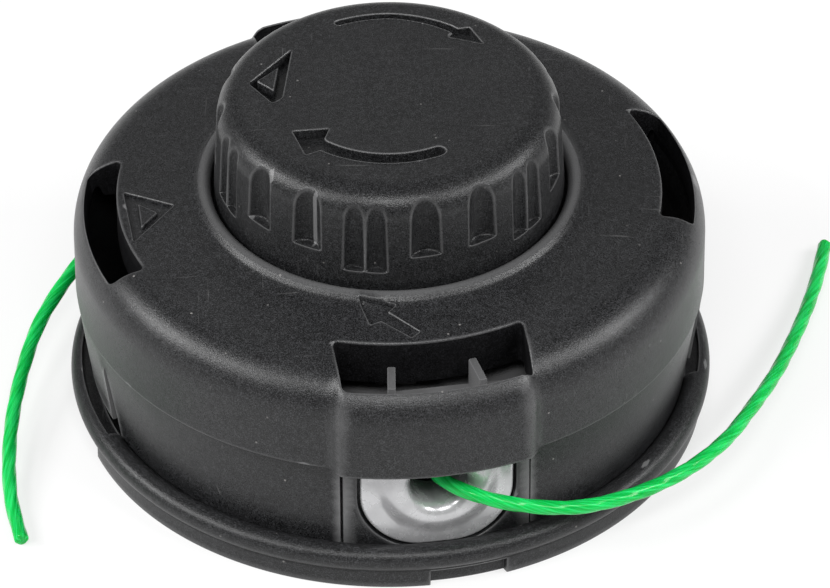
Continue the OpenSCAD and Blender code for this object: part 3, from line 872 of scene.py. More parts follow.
def build_cover():
    parts = []
    well = []            # faces of the window wells
    # ---------- outside
    pts, loops, holes_dom = [], [], []

    def add(list_xy):
        i0 = len(pts)
        pts.extend([tuple(p) for p in list_xy])
        return list(range(i0, i0 + len(list_xy)))

    fillet = 0.38
    win = []
    for turn, r_in, r_out, half, kind in WINDOWS:
        loop = window_loop(r_in, r_out, half)
        rings = []
        for d in (fillet, fillet + 0.35, fillet + 0.9):
            q = offset_loop(loop, d)
            th, r = to_polar(q, turn)
            v = inv_out(th, r)
            rings.append(np.stack([dom(th), v], -1))
        win.append((turn, loop, rings, kind, r_in, r_out, half))
    # bottom boundary
    def low_end(theta):
        return theta

    bottom = []
    seam_a, seam_b = 18.75, 18.45     # left and right edge of an eyelet opening
    slit_deg = [(TAB + s, m) for s in (0, 180) for m in (-1, 1)]
    events = []
    for s in (0, 180):
        events.append(((EYE + s - seam_a), "open"))
        events.append(((EYE + s + seam_b), "close"))
        events.append(((TAB + s - TAB_HALF), "slit-"))
        events.append(((TAB + s + TAB_HALF), "slit+"))
    events = sorted([((a - TH0) % 360.0, k) for a, k in events])
    # z levels on the low wall
    zv = lambda z: V_LE + (Z_EDGE - 0.3 - z)
    state_v = zv(Z_BOT)      # TH0 lies on a low wall

    def walk(a0, a1, vfun, step=1.0):
        n = max(2, int(abs(a1 - a0) / step))
        return [(a, vfun(a)) for a in np.linspace(a0, a1, n, endpoint=False)]

    cur = 0.0
    level = zv(Z_BOT)
    mode = "wall"
    B = []
    for a, k in events:
        if k == "open":
            B += walk(cur, a, lambda x: zv(Z_BOT))
            B += [(a, v) for v in np.linspace(zv(Z_BOT), V_ED, 22, endpoint=False)]
            cur, mode = a, "open"
        elif k == "close":
            B += walk(cur, a, lambda x: V_ED)
            B += [(a, v) for v in np.linspace(V_ED, zv(Z_BOT), 22, endpoint=False)]
            cur, mode = a, "wall"
        elif k == "slit-":
            # from a wall into a tab, with rising direction: the wall's edge leans away from the tab
            w_bot = a - 1.45
            B += walk(cur, w_bot, lambda x: zv(Z_BOT))
            n = 16
            B += [(w_bot + (a - 0.10 - w_bot) * i / n, zv(Z_BOT) + (zv(SLIT_TOP) - zv(Z_BOT)) * i / n) for i in range(n)]
            B.append((a, zv(SLIT_TOP + 0.15)))
            n = 12
            B += [(a + 0.10 + (0.0) * i / n, zv(SLIT_TOP) + (zv(Z_TAB) - zv(SLIT_TOP)) * i / n) for i in range(n)]
            cur, mode = a + 0.10, "tab"
        else:
            B += walk(cur, a - 0.10, lambda x: zv(Z_TAB))
            n = 12
            B += [(a - 0.10, zv(Z_TAB) + (zv(SLIT_TOP) - zv(Z_TAB)) * i / n) for i in range(n)]
            B.append((a, zv(SLIT_TOP + 0.15)))
            w_bot = a + 1.45
            n = 16
            B += [(a + 0.10 + (w_bot - a - 0.10) * i / n, zv(SLIT_TOP) + (zv(Z_BOT) - zv(SLIT_TOP)) * i / n) for i in range(n)]
            cur, mode = w_bot, "wall"
    B += walk(cur, 360.0, lambda x: zv(Z_BOT))
    B.append((360.0, zv(Z_BOT)))
    B = np.array(B)                       # (degrees from TH0, v)
    Bdom = np.stack([B[:, 0] * U, B[:, 1]], -1)
    width = 360.0 * U
    rows_side = np.arange(0.0, V_END, 1.0)
    vs = []
    v = 0.0
    # finer rows over the lip and the edge
    marks = [0, 3.8, 8.0, 12.0, V_SK - 22, V_SK - 9, V_SK - 0.6, V_LE + 0.5, V_END]
    steps = [1.2, 0.33, 0.5, 0.9, 0.62, 0.95, 0.13, 1.1]
    for a, b, st in zip(marks[:-1], marks[1:], steps):
        n = max(1, int(round((b - a) / st)))
        vs += [a + (b - a) * i / n for i in range(n)]
    vs = [x for x in vs if x < V_END - 0.3]
    side_v = [x for x in vs if x > 0.01]
    top_n = 300
    left = [(0.0, x) for x in side_v]
    right = [(width, x) for x in side_v]
    top = [(width * i / top_n, 0.0) for i in range(top_n + 1)]
    outline = top + right + [tuple(p) for p in Bdom[::-1]] + left[::-1]
    oi = add(outline)
    loops.append(oi)
    outer_poly = np.array(outline)
    bot_idx = oi[len(top) + len(right): len(top) + len(right) + len(Bdom)][::-1]
    # grid
    cols = np.arange(0.6, width, 1.02)
    G = np.array([(c + (0.51 if (i % 2) else 0.0), x) for i, x in enumerate(side_v) for c in cols])
    G = G[G[:, 0] < width - 0.4]
    # loops round the marks
    mark_pts = []
    for mk in COVER_MARKS:
        for lp in mk.loops():
            th, r = to_polar(lp, 0.0)
            mark_pts.append(np.stack([dom(th), inv_out(th, r)], -1))
    hole_polys = []
    for turn, loop, rings, kind, *_ in win:
        for k, rg in enumerate(rings):
            ids = add(rg)
            if k == 0:
                loops.append(ids)
                win_idx = ids
            win[[w[0] for w in win].index(turn)][2][k] = (rg, ids)
        hole_polys.append(rings[0][0])
    ok = point_in_poly(G[:, 0], G[:, 1], outer_poly) & (dist_to_poly(G[:, 0], G[:, 1], outer_poly) > 0.22)
    for turn, loop, rings, kind, *_ in win:
        big = rings[2][0]
        ok &= ~point_in_poly(G[:, 0], G[:, 1], big) & (dist_to_poly(G[:, 0], G[:, 1], big) > 0.35)
    G = G[ok]
    # keep the coarse grid off the marks' walls
    th = G[:, 0] / U + TH0
    r, _z = surf_out(th, G[:, 1])
    xy = np.stack([r * np.cos(np.radians(th)), r * np.sin(np.radians(th))], -1)
    for mk in COVER_MARKS:
        clear = ~(mk.near(xy, 0.62) & (G[:, 1] > 5) & (G[:, 1] < V_SK - 12))
        G, xy = G[clear], xy[clear]
    add(G)
    for lp in mark_pts:
        loops.append(add(lp))
    P, T, back = triangulate(pts, loops, outer_poly, hole_polys)
    th = P[:, 0] / U + TH0
    r, z = surf_out(th, P[:, 1])
    x, y = r * np.cos(np.radians(th)), r * np.sin(np.radians(th))
    z = z + np.where((P[:, 1] > 4.2) & (r < 45.0), mark_height(COVER_MARKS, x, y), 0.0)
    V_out = np.stack([x, y, z], -1)
    F_out = [tuple(t) for t in T]
    base_out = 0
    verts = [V_out]
    faces = F_out
    count = len(V_out)
    top_ids = [back[i] for i in oi[:len(top)]]
    bot_ids = [back[i] for i in bot_idx]

    # ---------- inside
    pts2, loops2 = [], []

    def add2(list_xy):
        i0 = len(pts2)
        pts2.extend([tuple(p) for p in list_xy])
        return list(range(i0, i0 + len(list_xy)))

    # bottom boundary of the inside matches the outside's point for point
    def z_of_v(v):
        return np.where(v >= V_LE, Z_EDGE - 0.3 - (v - V_LE), Z_EDGE)

    zb = z_of_v(B[:, 1])
    Bi = np.stack([B[:, 0] * U, W_END + (27.0 - zb)], -1)
    side_i = [x for x in np.arange(1.5, W_END + 27.0 - Z_BOT - 0.8, 1.6)]
    outline_i = [(width * i / top_n, 0.0) for i in range(top_n + 1)] + [(width, x) for x in side_i] \
        + [tuple(p) for p in Bi[::-1]] + [(0.0, x) for x in side_i[::-1]]
    oi2 = add2(outline_i)
    loops2.append(oi2)
    op2 = np.array(outline_i)
    bot2 = oi2[top_n + 1 + len(side_i): top_n + 1 + len(side_i) + len(Bi)][::-1]
    holes2 = []
    win2 = []
    for turn, loop, rings, kind, r_in, r_out, half in win:
        ro = r_out if kind == "front" else 48.85
        lp = window_loop(r_in, ro, half)
        q = offset_loop(lp, 1.1)
        rr = np.hypot(q[:, 0], q[:, 1])
        lim = (50.85 if kind == "front" else 48.93)
        sc = np.minimum(1.0, lim / rr)
        q = q * sc[:, None]
        th, r = to_polar(q, turn)
        v = inv_in(th, r)
        rg = np.stack([dom(th), v], -1)
        ids = add2(rg)
        loops2.append(ids)
        holes2.append(rg)
        win2.append((turn, lp, q, rg, ids))
    G2 = np.array([(c, x) for x in side_i for c in np.arange(0.9, width - 0.6, 1.9)])
    ok = point_in_poly(G2[:, 0], G2[:, 1], op2) & (dist_to_poly(G2[:, 0], G2[:, 1], op2) > 0.5)
    for rg in holes2:
        ok &= ~point_in_poly(G2[:, 0], G2[:, 1], rg) & (dist_to_poly(G2[:, 0], G2[:, 1], rg) > 0.7)
    add2(G2[ok])
    P2, T2, back2 = triangulate(pts2, loops2, op2, holes2)
    th2 = P2[:, 0] / U + TH0
    r2, z2 = surf_in(th2, P2[:, 1])
    V_in = np.stack([r2 * np.cos(np.radians(th2)), r2 * np.sin(np.radians(th2)), z2], -1)
    verts.append(V_in)
    faces = faces + [tuple(int(i) + count for i in t[::-1]) for t in T2]
    in_off = count
    count += len(V_in)
    # stitch the collar's foot and the bottom edge
    t2 = [back2[i] + in_off for i in oi2[:top_n + 1]]
    b2 = [back2[i] + in_off for i in bot2]
    for a, b in ((top_ids, t2), (bot_ids, b2)):
        for i in range(len(a) - 1):
            quad = (a[i], a[i + 1], b[i + 1], b[i])
            if len(set(quad)) == 4:
                faces.append(quad)
    # window walls
    for (turn, loop, rings, kind, r_in, r_out, half), (turn2, lp_in, q_in, rg_in, ids_in) in zip(win, win2):
        ids0 = [back[i] for i in rings[0][1]]
        n = len(loop)
        chain = [ids0]
        th_b, r_b = to_polar(loop, turn)
        # rounding
        for k in (1, 2, 3, 4):
            a = k / 4 * math.pi / 2
            d = fillet * (1 - math.sin(a))
            drop = fillet * (1 - math.cos(a))
            q = offset_loop(loop, d)
            th, r = to_polar(q, turn)
            v = inv_out(th, r)
            rr, zz = surf_out(th, v)
            ring = np.stack([r * np.cos(np.radians(th)), r * np.sin(np.radians(th)), zz - drop], -1)
            verts.append(ring)
            chain.append(list(range(count, count + n)))
            count += n
            last = ring
        # bottom of the well
        y = loop[:, 1]
        rr = np.hypot(loop[:, 0], loop[:, 1])
        deep = 1 - smooth(r_out - 2.2, r_out - 0.4, rr)       # 1 at the inner edge and sides
        lq, = [lp_in]
        thi, ri = to_polar(lq, turn)
        vi = inv_in(thi, np.minimum(ri, 48.9 if kind == "side" else 50.8))
        _, zi = surf_in(thi, vi)
        zi2, _z = zi, None
        floor_z = 33.5 if kind == "front" else 34.2
        zbot = (zi - 0.05) * (1 - deep) + floor_z * deep
        zbot = np.minimum(zbot, zi - 0.03)
        for zz in (0.5, 1.0):
            ring = np.stack([np.cos(np.radians(thi)) * (ri * zz + np.hypot(last[:, 0], last[:, 1]) * (1 - zz)),
                             np.sin(np.radians(thi)) * (ri * zz + np.hypot(last[:, 0], last[:, 1]) * (1 - zz)),
                             last[:, 2] * (1 - zz) + zbot * zz], -1)
            verts.append(ring)
            chain.append(list(range(count, count + n)))
            count += n
        # outside face of the well's curtain, up to the inner surface
        tq = np.degrees(np.arctan2(q_in[:, 1], q_in[:, 0])) + turn
        rq = np.hypot(q_in[:, 0], q_in[:, 1])
        ring = np.stack([rq * np.cos(np.radians(tq)), rq * np.sin(np.radians(tq)), zbot], -1)
        verts.append(ring)
        chain.append(list(range(count, count + n)))
        count += n
        chain.append([back2[i] + in_off for i in ids_in])
        for c, (a, b) in enumerate(zip(chain[:-1], chain[1:])):
            for i in range(n):
                j = (i + 1) % n
                quad = (a[j], a[i], b[i], b[j])
                if len(set(quad)) >= 3:
                    if c >= 4:
                        well.append(len(faces))
                    faces.append(tuple(dict.fromkeys(quad)))
    V = np.vstack(verts)
    return V, faces, well


cv, cf, _well = build_cover()
cover = new_object("cover_shell", cv, cf, M_COVER, "root", replaces=("cover",), flat=38,
                   mats=[M_COVER, M_WELL_PAINTED_SHADE])
# the walls of the window wells get the darker, duller nylon: painted shade deep in the recess
fc = np.array([p.center[:] for p in cover.data.polygons]) / MM
fi = np.zeros(len(fc), np.int32)
for turn, r_in, r_out, half, kind in WINDOWS:
    q = rot_z(fc, -turn)
    m = np.nonzero(point_in_poly(q[:, 0], q[:, 1], offset_loop(window_loop(r_in, r_out, half), 1.2)))[0]
    th, r = to_polar(q[m], turn)
    zs = surf_out(th, inv_out(th, r))[1]
    fi[m[(fc[m, 2] < zs - 0.45) & (fc[m, 2] > 33.0)]] = 1
cover.data.polygons.foreach_set("material_index", fi)
cover.data.update()
print("cover", len(cover.data.vertices), "verts", sum(len(p.vertices) - 2 for p in cover.data.polygons), "tris")

# ---------------------------------------------------------------- knob
KNOB_DOME = 0.12


def arc_pts(r0, r1, a0, a1, n=24):
    return [pol(r0 + (r1 - r0) * k / n, a0 + (a1 - a0) * k / n) for k in range(n + 1)]


def cap_pts(r, a, half, sign, n=7):
    """Half a circle round the end of an arc-shaped groove, from its outer to its inner side."""
    c, t = np.array(pol(r, a)), rad(a)
    ax, tg = np.array((math.cos(t), math.sin(t))), np.array((-math.sin(t), math.cos(t))) * sign
    return [tuple(c + half * (math.cos(k) * ax + math.sin(k) * tg)) for k in np.linspace(0, math.pi, n)][1:-1]


KNOB_MARKS = [
    # near arrow, pointing left
    Mark([pol(18.27, 213.4), pol(20.78, 230.9), pol(18.42, 234.2)] + arc_pts(18.4, 18.4, 236, 297, 26)
         + cap_pts(17.25, 297.5, 1.15, 1) + arc_pts(16.1, 16.05, 297, 232, 26) + [pol(15.8, 229.7), pol(13.34, 225.0)], [], 1.7, 0.28),
    # far arrow, pointing right
    Mark([pol(20.0, 40.2), pol(21.7, 52.9), pol(20.3, 56.6)] + arc_pts(20.5, 21.1, 60, 90, 12) + arc_pts(21.1, 20.95, 92, 113, 9)
         + [tuple(p) for p in cap_pts(20.35, 113.3, 0.62, 1)] + arc_pts(19.72, 19.85, 113, 90, 9) + arc_pts(19.82, 19.0, 88, 58.5, 12)
         + [pol(18.81, 56.6), pol(17.71, 56.8)], [], 1.3, 0.2),
    # triangle with an island
    Mark([pol(22.5, 173.4), pol(19.4, 143.6), pol(17.05, 184.2), pol(18.7, 188.0)], [[pol(21.4, 171.6), pol(18.95, 159.2), pol(18.4, 178.0)]], 1.8, 0.55)]


def build_knob():
    NT = 864
    th = np.arange(NT) * 360.0 / NT
    c0 = (22.7, 55.4 - KNOB_DOME)
    rows = []          # (r, z, flute allowed)
    rows += [(25.7, 36.7), (25.9, 36.5), (30.8, 36.5), (31.1, 36.8), (31.1, 37.8), (30.8, 38.1), (28.75, 38.1), (28.45, 38.25), (28.35, 38.6)]
    zs = [39.5, 41, 42.5, 43.5, 44.5, 45.3, 45.7, 45.85, 45.95, 46.05, 46.15, 46.3, 46.8, 47.5, 48.2, 48.45, 48.57, 48.66, 48.74, 48.84, 49.0, 49.5,
          50.5, 51.5, 52.5, 53.5, 54.4]
    rows += [(28.3 - 0.6 * max(0.0, (z - 43.0) / 12.4), z) for z in zs]
    arc_pts = [(c0[0] + 5.0 * math.cos(rad(a)), c0[1] + 5.0 * math.sin(rad(a))) for a in np.linspace(0, 90, 23)]
    rows += arc_pts
    R = np.array([p[0] for p in rows])[:, None] * np.ones((1, NT))
    Z = np.array([p[1] for p in rows])[:, None] * np.ones((1, NT))
    flutes = []
    for g in range(6):
        a = 262.2 + 60 * g
        flutes += [(a - 3.7, 28.75, 1.85, 46.0), (a + 3.7, 28.75, 1.85, 46.0), (a + 20, 29.1, 2.75, 48.7), (a - 20, 29.1, 2.75, 48.7)]
    for fa, rc, rho, zb in flutes:
        d = np.radians(wrap(th - fa))
        s = rc * np.sin(d)
        inside = (np.abs(s) < rho) & (np.abs(d) < 0.5)
        rcut = np.where(inside, rc * np.cos(d) - np.sqrt(np.maximum(rho ** 2 - s ** 2, 0.0)), 99.0)
        w = smooth(zb - 0.09, zb + 0.09, Z)
        k = 0.10
        soft = -k * np.log(np.exp(-np.minimum((R - 20) / k, 600)) + np.exp(-np.minimum((rcut[None, :] - 20) / k, 600))) + 20
        near = rcut[None, :] < R + 0.7
        cut = np.where(near, np.minimum(soft, R), R)
        # slight hollow in the ledge at the foot of each flute
        R = R * (1 - w) + cut * w
        deep = np.clip((R * 0 + np.array([p[0] for p in rows])[:, None] - rcut[None, :]) / 1.5, 0, 1)
        Z = Z - 0.22 * deep * np.exp(-((Z - zb - 0.02) / 0.12) ** 2)
    V = np.stack([R * np.cos(np.radians(th))[None, :], R * np.sin(np.radians(th))[None, :], Z], -1).reshape(-1, 3)
    F = grid_faces(len(rows), NT)
    # inside: hollow, socket
    hexr = 12.12 * math.cos(rad(30)) / np.cos(np.radians((th % 60.0) - 30.0))
    NI = 216
    ti = np.arange(NI) * 360.0 / NI
    hexi = 12.12 * math.cos(rad(30)) / np.cos(np.radians((ti % 60.0) - 30.0))
    ins = []
    for r, z in ((25.7, 36.7), (25.7, 46.0), (25.7, 57.0), (25.2, 57.6), (20.0, 57.6), (15.1, 57.6), (14.6, 57.1), (14.6, 44.0), (14.6, 37.1), (14.3, 36.8)):
        ins.append((np.full(NI, r), z))
    for k, z in ((0.35, 36.8), (0.0, 37.2), (0.0, 46.0), (0.0, 55.9), (-1.0, 56.0), (-11.0, 56.0)):
        ins.append((np.maximum(hexi + k, 0.35), z))
    VI = np.array([[(r[j] * math.cos(rad(ti[j])), r[j] * math.sin(rad(ti[j])), z) for j in range(NI)] for r, z in ins]).reshape(-1, 3)
    FI = grid_faces(len(ins), NI)
    off = len(V)
    F += [tuple(i + off for i in f[::-1]) for f in FI]
    # bottom ring joining outer start row and inner start row: both at r 25.7, z 36.7
    step = NT // NI
    for j in range(NI):
        a = [j * step + k for k in range(step + 1)]
        a = [i % NT for i in a]
        b0, b1 = off + j, off + (j + 1) % NI
        F.append(tuple([b0] + [b1] + a[::-1]))
    last = off + (len(ins) - 1) * NI
    F.append(tuple(last + j for j in range(NI)))
    V = np.vstack([V, VI])
    # top disc
    n_b = NT
    ring = V[(len(rows) - 1) * NT:(len(rows)) * NT, :2]
    pts = [tuple(p) for p in ring]
    G = []
    for r in np.arange(0.7, 22.3, 0.85):
        m = max(6, int(round(2 * math.pi * r / 0.85)))
        G += [pol(r, 360.0 * k / m + 17 * r) for k in range(m)]
    G = np.array(G)
    inner = np.array([pol(22.25, 360.0 * k / 216) for k in range(216)])
    for mk in KNOB_MARKS:
        G = G[~mk.near(G, 0.6)]
        inner = inner[~mk.near(inner, 0.5)]
    allp = pts + [tuple(p) for p in inner] + [tuple(p) for p in G]
    loops = [list(range(n_b))]
    for mk in KNOB_MARKS:
        for lp in mk.loops():
            lp = lp[np.hypot(lp[:, 0], lp[:, 1]) < 22.6]
            loops.append(list(range(len(allp), len(allp) + len(lp))))
            allp += [tuple(p) for p in lp]
    P, T, back = triangulate(allp, loops, np.array(pts), [])
    rr = np.hypot(P[:, 0], P[:, 1])
    zt = np.minimum(60.4 - KNOB_DOME * (rr / 22.7) ** 2 + mark_height(KNOB_MARKS, P[:, 0], P[:, 1]), 60.398)
    top_off = len(V)
    V = np.vstack([V, np.stack([P[:, 0], P[:, 1], zt], -1)])
    F += [tuple(int(i) + top_off for i in t) for t in T]
    return V, F


kv, kf = build_knob()
knob = new_object("winding_knob", kv, kf, M_KNOB, "reel", replaces=("knob",), flat=50)


# ---------------------------------------------------------------- housing
def rbox(x0, x1, y0, y1, z0, z1, e):
    """A box with small chamfers on its upright and top edges."""
    ring = lambda d: [(x0 + d, y0), (x1 - d, y0), (x1, y0 + d), (x1, y1 - d), (x1 - d, y1), (x0 + d, y1), (x0, y1 - d), (x0, y0 + d)]

    def inset(r, k):
        cx, cy = (x0 + x1) / 2, (y0 + y1) / 2
        return [(x - k * np.sign(x - cx), y - k * np.sign(y - cy)) for x, y in r]

    a = ring(e)
    rows = [(a, z0), (a, z1 - e), (inset(a, e * 0.3), z1 - e * 0.3), (inset(a, e), z1)]
    V = [(x, y, z) for r, z in rows for x, y in r]
    F = grid_faces(len(rows), 8)
    F.append(tuple(range(7, -1, -1)))
    F.append(tuple(range(24, 32)))
    return np.array(V, float), F


def rr_radius(alpha, hw, hh, cr):
    """Distance from the centre to a rounded rectangle's outline, by direction (radians)."""
    out = []
    for a in alpha:
        c, s = abs(math.cos(a)), abs(math.sin(a))
        lo, hi = 0.0, 30.0
        for _ in range(40):
            m = (lo + hi) / 2
            x, y = c * m - (hw - cr), s * m - (hh - cr)
            d = math.hypot(max(x, 0), max(y, 0)) + min(max(x, y), 0) - cr
            if d > 0:
                hi = m
            else:
                lo = m
        out.append((lo + hi) / 2)
    return np.array(out)


BLOCK_R, EYE_Z = 48.2, 18.9
NA = 160
ALPHA = np.arange(NA) * 2 * math.pi / NA


def build_block():
    """One eyelet block, drawn facing +X."""
    parts_v, faces = [], []
    n = 0

    def put(v):
        nonlocal n
        v = np.asarray(v, float)
        parts_v.append(v)
        ids = list(range(n, n + len(v)))
        n += len(v)
        return ids

    hw, z0, z1 = 15.0, 3.0, 33.0
    cut = lambda u: np.sqrt(BLOCK_R ** 2 - np.asarray(u) ** 2)
    r0 = rr_radius(ALPHA, 12.8, 13.1, 9.9)
    loop = lambda d: np.stack([(r0 + d) * np.cos(ALPHA), EYE_Z + (r0 + d) * np.sin(ALPHA)], -1)
    rect = resample([(-hw, z0), (hw, z0), (hw, z1), (-hw, z1), (-hw, z0)], 1.0)[:-1]
    outer = [tuple(p) for p in rect]
    lp = [tuple(p) for p in loop(0.32)]
    lp2 = [p for p in (tuple(q) for q in loop(0.75)) if abs(p[0]) < hw - 0.3 and z0 + 0.3 < p[1] < z1 - 0.25]
    G = [(x, z) for x in np.arange(-hw + 1.2, hw - 0.6, 1.25) for z in np.arange(z0 + 1.2, z1 - 0.6, 1.25)]
    G = np.array(G)
    bl = np.array([tuple(q) for q in loop(1.2)])
    G = G[~point_in_poly(G[:, 0], G[:, 1], bl)]
    allp = outer + lp + lp2 + [tuple(g) for g in G]
    no = len(outer)
    P, T, back = triangulate(allp, [list(range(no)), list(range(no, no + NA))], np.array(outer), [np.array(lp)])
    ids = put(np.stack([cut(P[:, 0]), P[:, 0], P[:, 1]], -1))
    faces += [tuple(ids[i] for i in t) for t in T]
    f_out = [ids[back[i]] for i in range(no)]
    chain = [[ids[back[i]] for i in range(no, no + NA)]]
    for k in (1, 2, 3):
        a = k / 3 * math.pi / 2
        q = loop(0.32 * (1 - math.sin(a)))
        chain.append(put(np.stack([cut(q[:, 0]) - 0.32 * (1 - math.cos(a)), q[:, 0], q[:, 1]], -1)))
    q = loop(0.0)
    chain.append(put(np.stack([cut(q[:, 0]) - 1.7, q[:, 0], q[:, 1]], -1)))
    circ = lambda r: np.stack([r * np.cos(ALPHA), EYE_Z + r * np.sin(ALPHA)], -1)
    q = circ(9.1)
    chain.append(put(np.stack([cut(q[:, 0]) - 1.7, q[:, 0], q[:, 1]], -1)))
    chain.append(put(np.stack([np.full(NA, 45.0), q[:, 0], q[:, 1]], -1)))
    q = circ(6.0)
    chain.append(put(np.stack([np.full(NA, 45.0), q[:, 0], q[:, 1]], -1)))
    chain.append(put(np.stack([np.full(NA, 43.3), q[:, 0], q[:, 1]], -1)))
    # back
    allb = outer + [tuple(p) for p in q]
    P2, T2, back2 = triangulate(allb, [list(range(no)), list(range(no, no + NA))], np.array(outer), [np.array([tuple(p) for p in q])])
    ids2 = put(np.stack([np.full(len(P2), 41.6), P2[:, 0], P2[:, 1]], -1))
    faces += [tuple(ids2[i] for i in t[::-1]) for t in T2]
    chain.append([ids2[back2[i]] for i in range(no, no + NA)])
    for a, b in zip(chain[:-1], chain[1:]):
        for i in range(NA):
            j = (i + 1) % NA
            faces.append((a[i], a[j], b[j], b[i]))
    b_out = [ids2[back2[i]] for i in range(no)]
    for i in range(no):
        j = (i + 1) % no
        faces.append((f_out[j], f_out[i], b_out[i], b_out[j]))
    V = np.vstack(parts_v)
    more = [(V, faces)]
    for s in (-8.8, 8.8):
        v, f = rbox(42.2, 47.8, -0.65, 0.65, 32.8, 38.2, 0.16)
        more.append((rot_z(v, s), f))
    return join_parts(more)


def build_flange():
    edges = []
    for a in range(4):
        edges += [277.2 + 90 * a, 291.2 + 90 * a]
    pocket = []
    for s in (0, 180):
        pocket += [TAB + s - 16.4, TAB + s + 16.4]
    th = list(np.arange(0, 360, 0.75))
    for e in edges:
        th += [e - 0.22, e - 0.08, e, e + 0.08, e + 0.22]
    for e in pocket:
        th += [e - 0.35, e - 0.15, e, e + 0.15, e + 0.35]
    th = np.unique(np.round(np.array(th) % 360.0, 4))
    gap = np.diff(np.concatenate([th, [th[0] + 360]]))
    th = th[gap > 0.05]
    inN = np.zeros(len(th))
    for a in range(4):
        d = np.abs(wrap(th - (284.2 + 90 * a)))
        inN = np.maximum(inN, 1 - smooth(7.0 - 0.12, 7.0 + 0.12, d))
    inP = np.zeros(len(th))
    for s in (0, 180):
        d = np.abs(wrap(th - (TAB + s)))
        inP = np.maximum(inP, 1 - smooth(16.4 - 0.25, 16.4 + 0.25, d))
    A, B, N = [], [], []       # normal, pocket, notch versions

    def pt(a, b=None, n=None):
        A.append(a)
        B.append(b or a)
        N.append(n or a)

    for r in (16.4, 25.0, 35.0, 44.0, 48.9):
        pt((r, 1.2))
    pt((49.25, 1.1)); pt((49.4, 0.8)); pt((49.45, 0.3)); pt((49.6, 0.05)); pt((49.8, 0.0))
    pt((50.3, 0.0), n=(49.9, 0.0)); pt((50.95, 0.0), n=(50.0, 0.0)); pt((51.2, 0.1), n=(50.08, 0.08)); pt((51.3, 0.35), n=(50.1, 0.3))
    pt((51.3, 1.3), n=(50.1, 1.3)); pt((51.3, 2.2), n=(50.1, 2.2)); pt((51.3, 2.93), n=(50.1, 2.93))
    pt((51.3, 3.03), n=(50.2, 3.03)); pt((51.3, 3.06), n=(51.2, 3.06)); pt((51.3, 3.3)); pt((51.22, 3.5)); pt((51.26, 3.68))
    top = 84.5
    for a in np.linspace(-60, 180, 49):
        p = (50.4 + 2.1 * math.cos(rad(a)), 5.6 + 2.1 * math.sin(rad(a)))
        if a <= top - 4:
            pt(p)
        else:
            u = (a - top + 4) / (180 - top + 4)
            if u < 0.06:
                q = (50.72, 7.66)
            elif u < 0.12:
                q = (50.62, 7.55)
            elif u < 0.55:
                q = (50.6, 7.4 - (u - 0.12) / 0.43 * 1.4)
            else:
                q = (50.5 - (u - 0.55) / 0.45 * 2.2, 5.9)
            pt(p, b=q)
    pt((48.3, 5.0)); pt((48.27, 4.2)); pt((48.15, 3.65)); pt((47.8, 3.42)); pt((46.0, 3.4)); pt((38.0, 3.4)); pt((28.0, 3.4)); pt((16.4, 3.4))
    A, B, N = np.array(A), np.array(B), np.array(N)
    V = []
    for i in range(len(A)):
        for j, t in enumerate(th):
            p = A[i] + (B[i] - A[i]) * inP[j] + (N[i] - A[i]) * inN[j]
            V.append((p[0] * math.cos(rad(t)), p[0] * math.sin(rad(t)), p[1]))
    return np.array(V), grid_faces(len(A), len(th), close_r=True)


def build_hub():
    NI = 180
    ti = np.arange(NI) * 360.0 / NI
    hx = 8.14 * math.cos(rad(30)) / np.cos(np.radians((ti % 60.0) - 30.0))
    rows = [(hx + 0.45, 0.0), (16.6, 0.0), (16.9, 0.1), (17.0, 0.35), (17.0, 1.4), (17.0, 3.3), (16.9, 3.42), (10.1, 3.42), (9.5, 3.6), (9.3, 4.0),
            (9.3, 8.0), (9.3, 11.1), (9.15, 11.4), (8.9, 11.5), (6.6, 11.5), (6.2, 11.35), (6.2, 11.0), (hx, 11.0), (hx, 6.0), (hx, 0.4)]
    V = []
    for r, z in rows:
        rr_ = r if isinstance(r, np.ndarray) else np.full(NI, r)
        V += [(rr_[j] * math.cos(rad(ti[j])), rr_[j] * math.sin(rad(ti[j])), z) for j in range(NI)]
    return np.array(V), grid_faces(len(rows), NI, close_r=True)


def build_housing():
    parts = [build_flange(), build_hub()]
    for k in range(12):
        v, f = rbox(16.5, 49.35, -0.9, 0.9, -1.3, -0.2, 0.25)       # drawn pointing down, then turned over
        v = v * (1, 1, -1)
        parts.append((rot_z(v, 9.2 + 30 * k), [t[::-1] for t in f]))
    # upright guards inside, open behind the eyelets
    for a0, a1 in ((EYE + 22.5, EYE + 157.5), (EYE + 202.5, EYE + 337.5)):
        prof = [(41.8, 3.2), (43.4, 3.2), (43.4, 7.6), (43.2, 7.9), (42.9, 8.0), (42.2, 8.0), (41.95, 7.9), (41.8, 7.6)]
        n = 120
        t = np.radians(np.linspace(a0, a1, n))
        V = np.array([[(r * math.cos(x), r * math.sin(x), z) for x in t] for r, z in prof]).reshape(-1, 3)
        F = grid_faces(len(prof), n, close_r=True, close_c=False)
        F.append(tuple(i * n for i in range(len(prof))))
        F.append(tuple(i * n + n - 1 for i in range(len(prof)))[::-1])
        parts.append((V, F))
    bv, bf = build_block()
    for s in (0, 180):
        parts.append((rot_z(bv, EYE + s), bf))
    return join_parts(parts)


hv, hf = build_housing()
hv = np.asarray(hv, float)
hr = np.hypot(hv[:, 0], hv[:, 1])
hv[:, :2] *= np.minimum(1.0, 53.185 / np.maximum(hr, 1e-6))[:, None]      # stays inside the CAD model's box
housing = new_object("housing_body", hv, hf, M_HOUSING, "root", replaces=("housing",), flat=38)


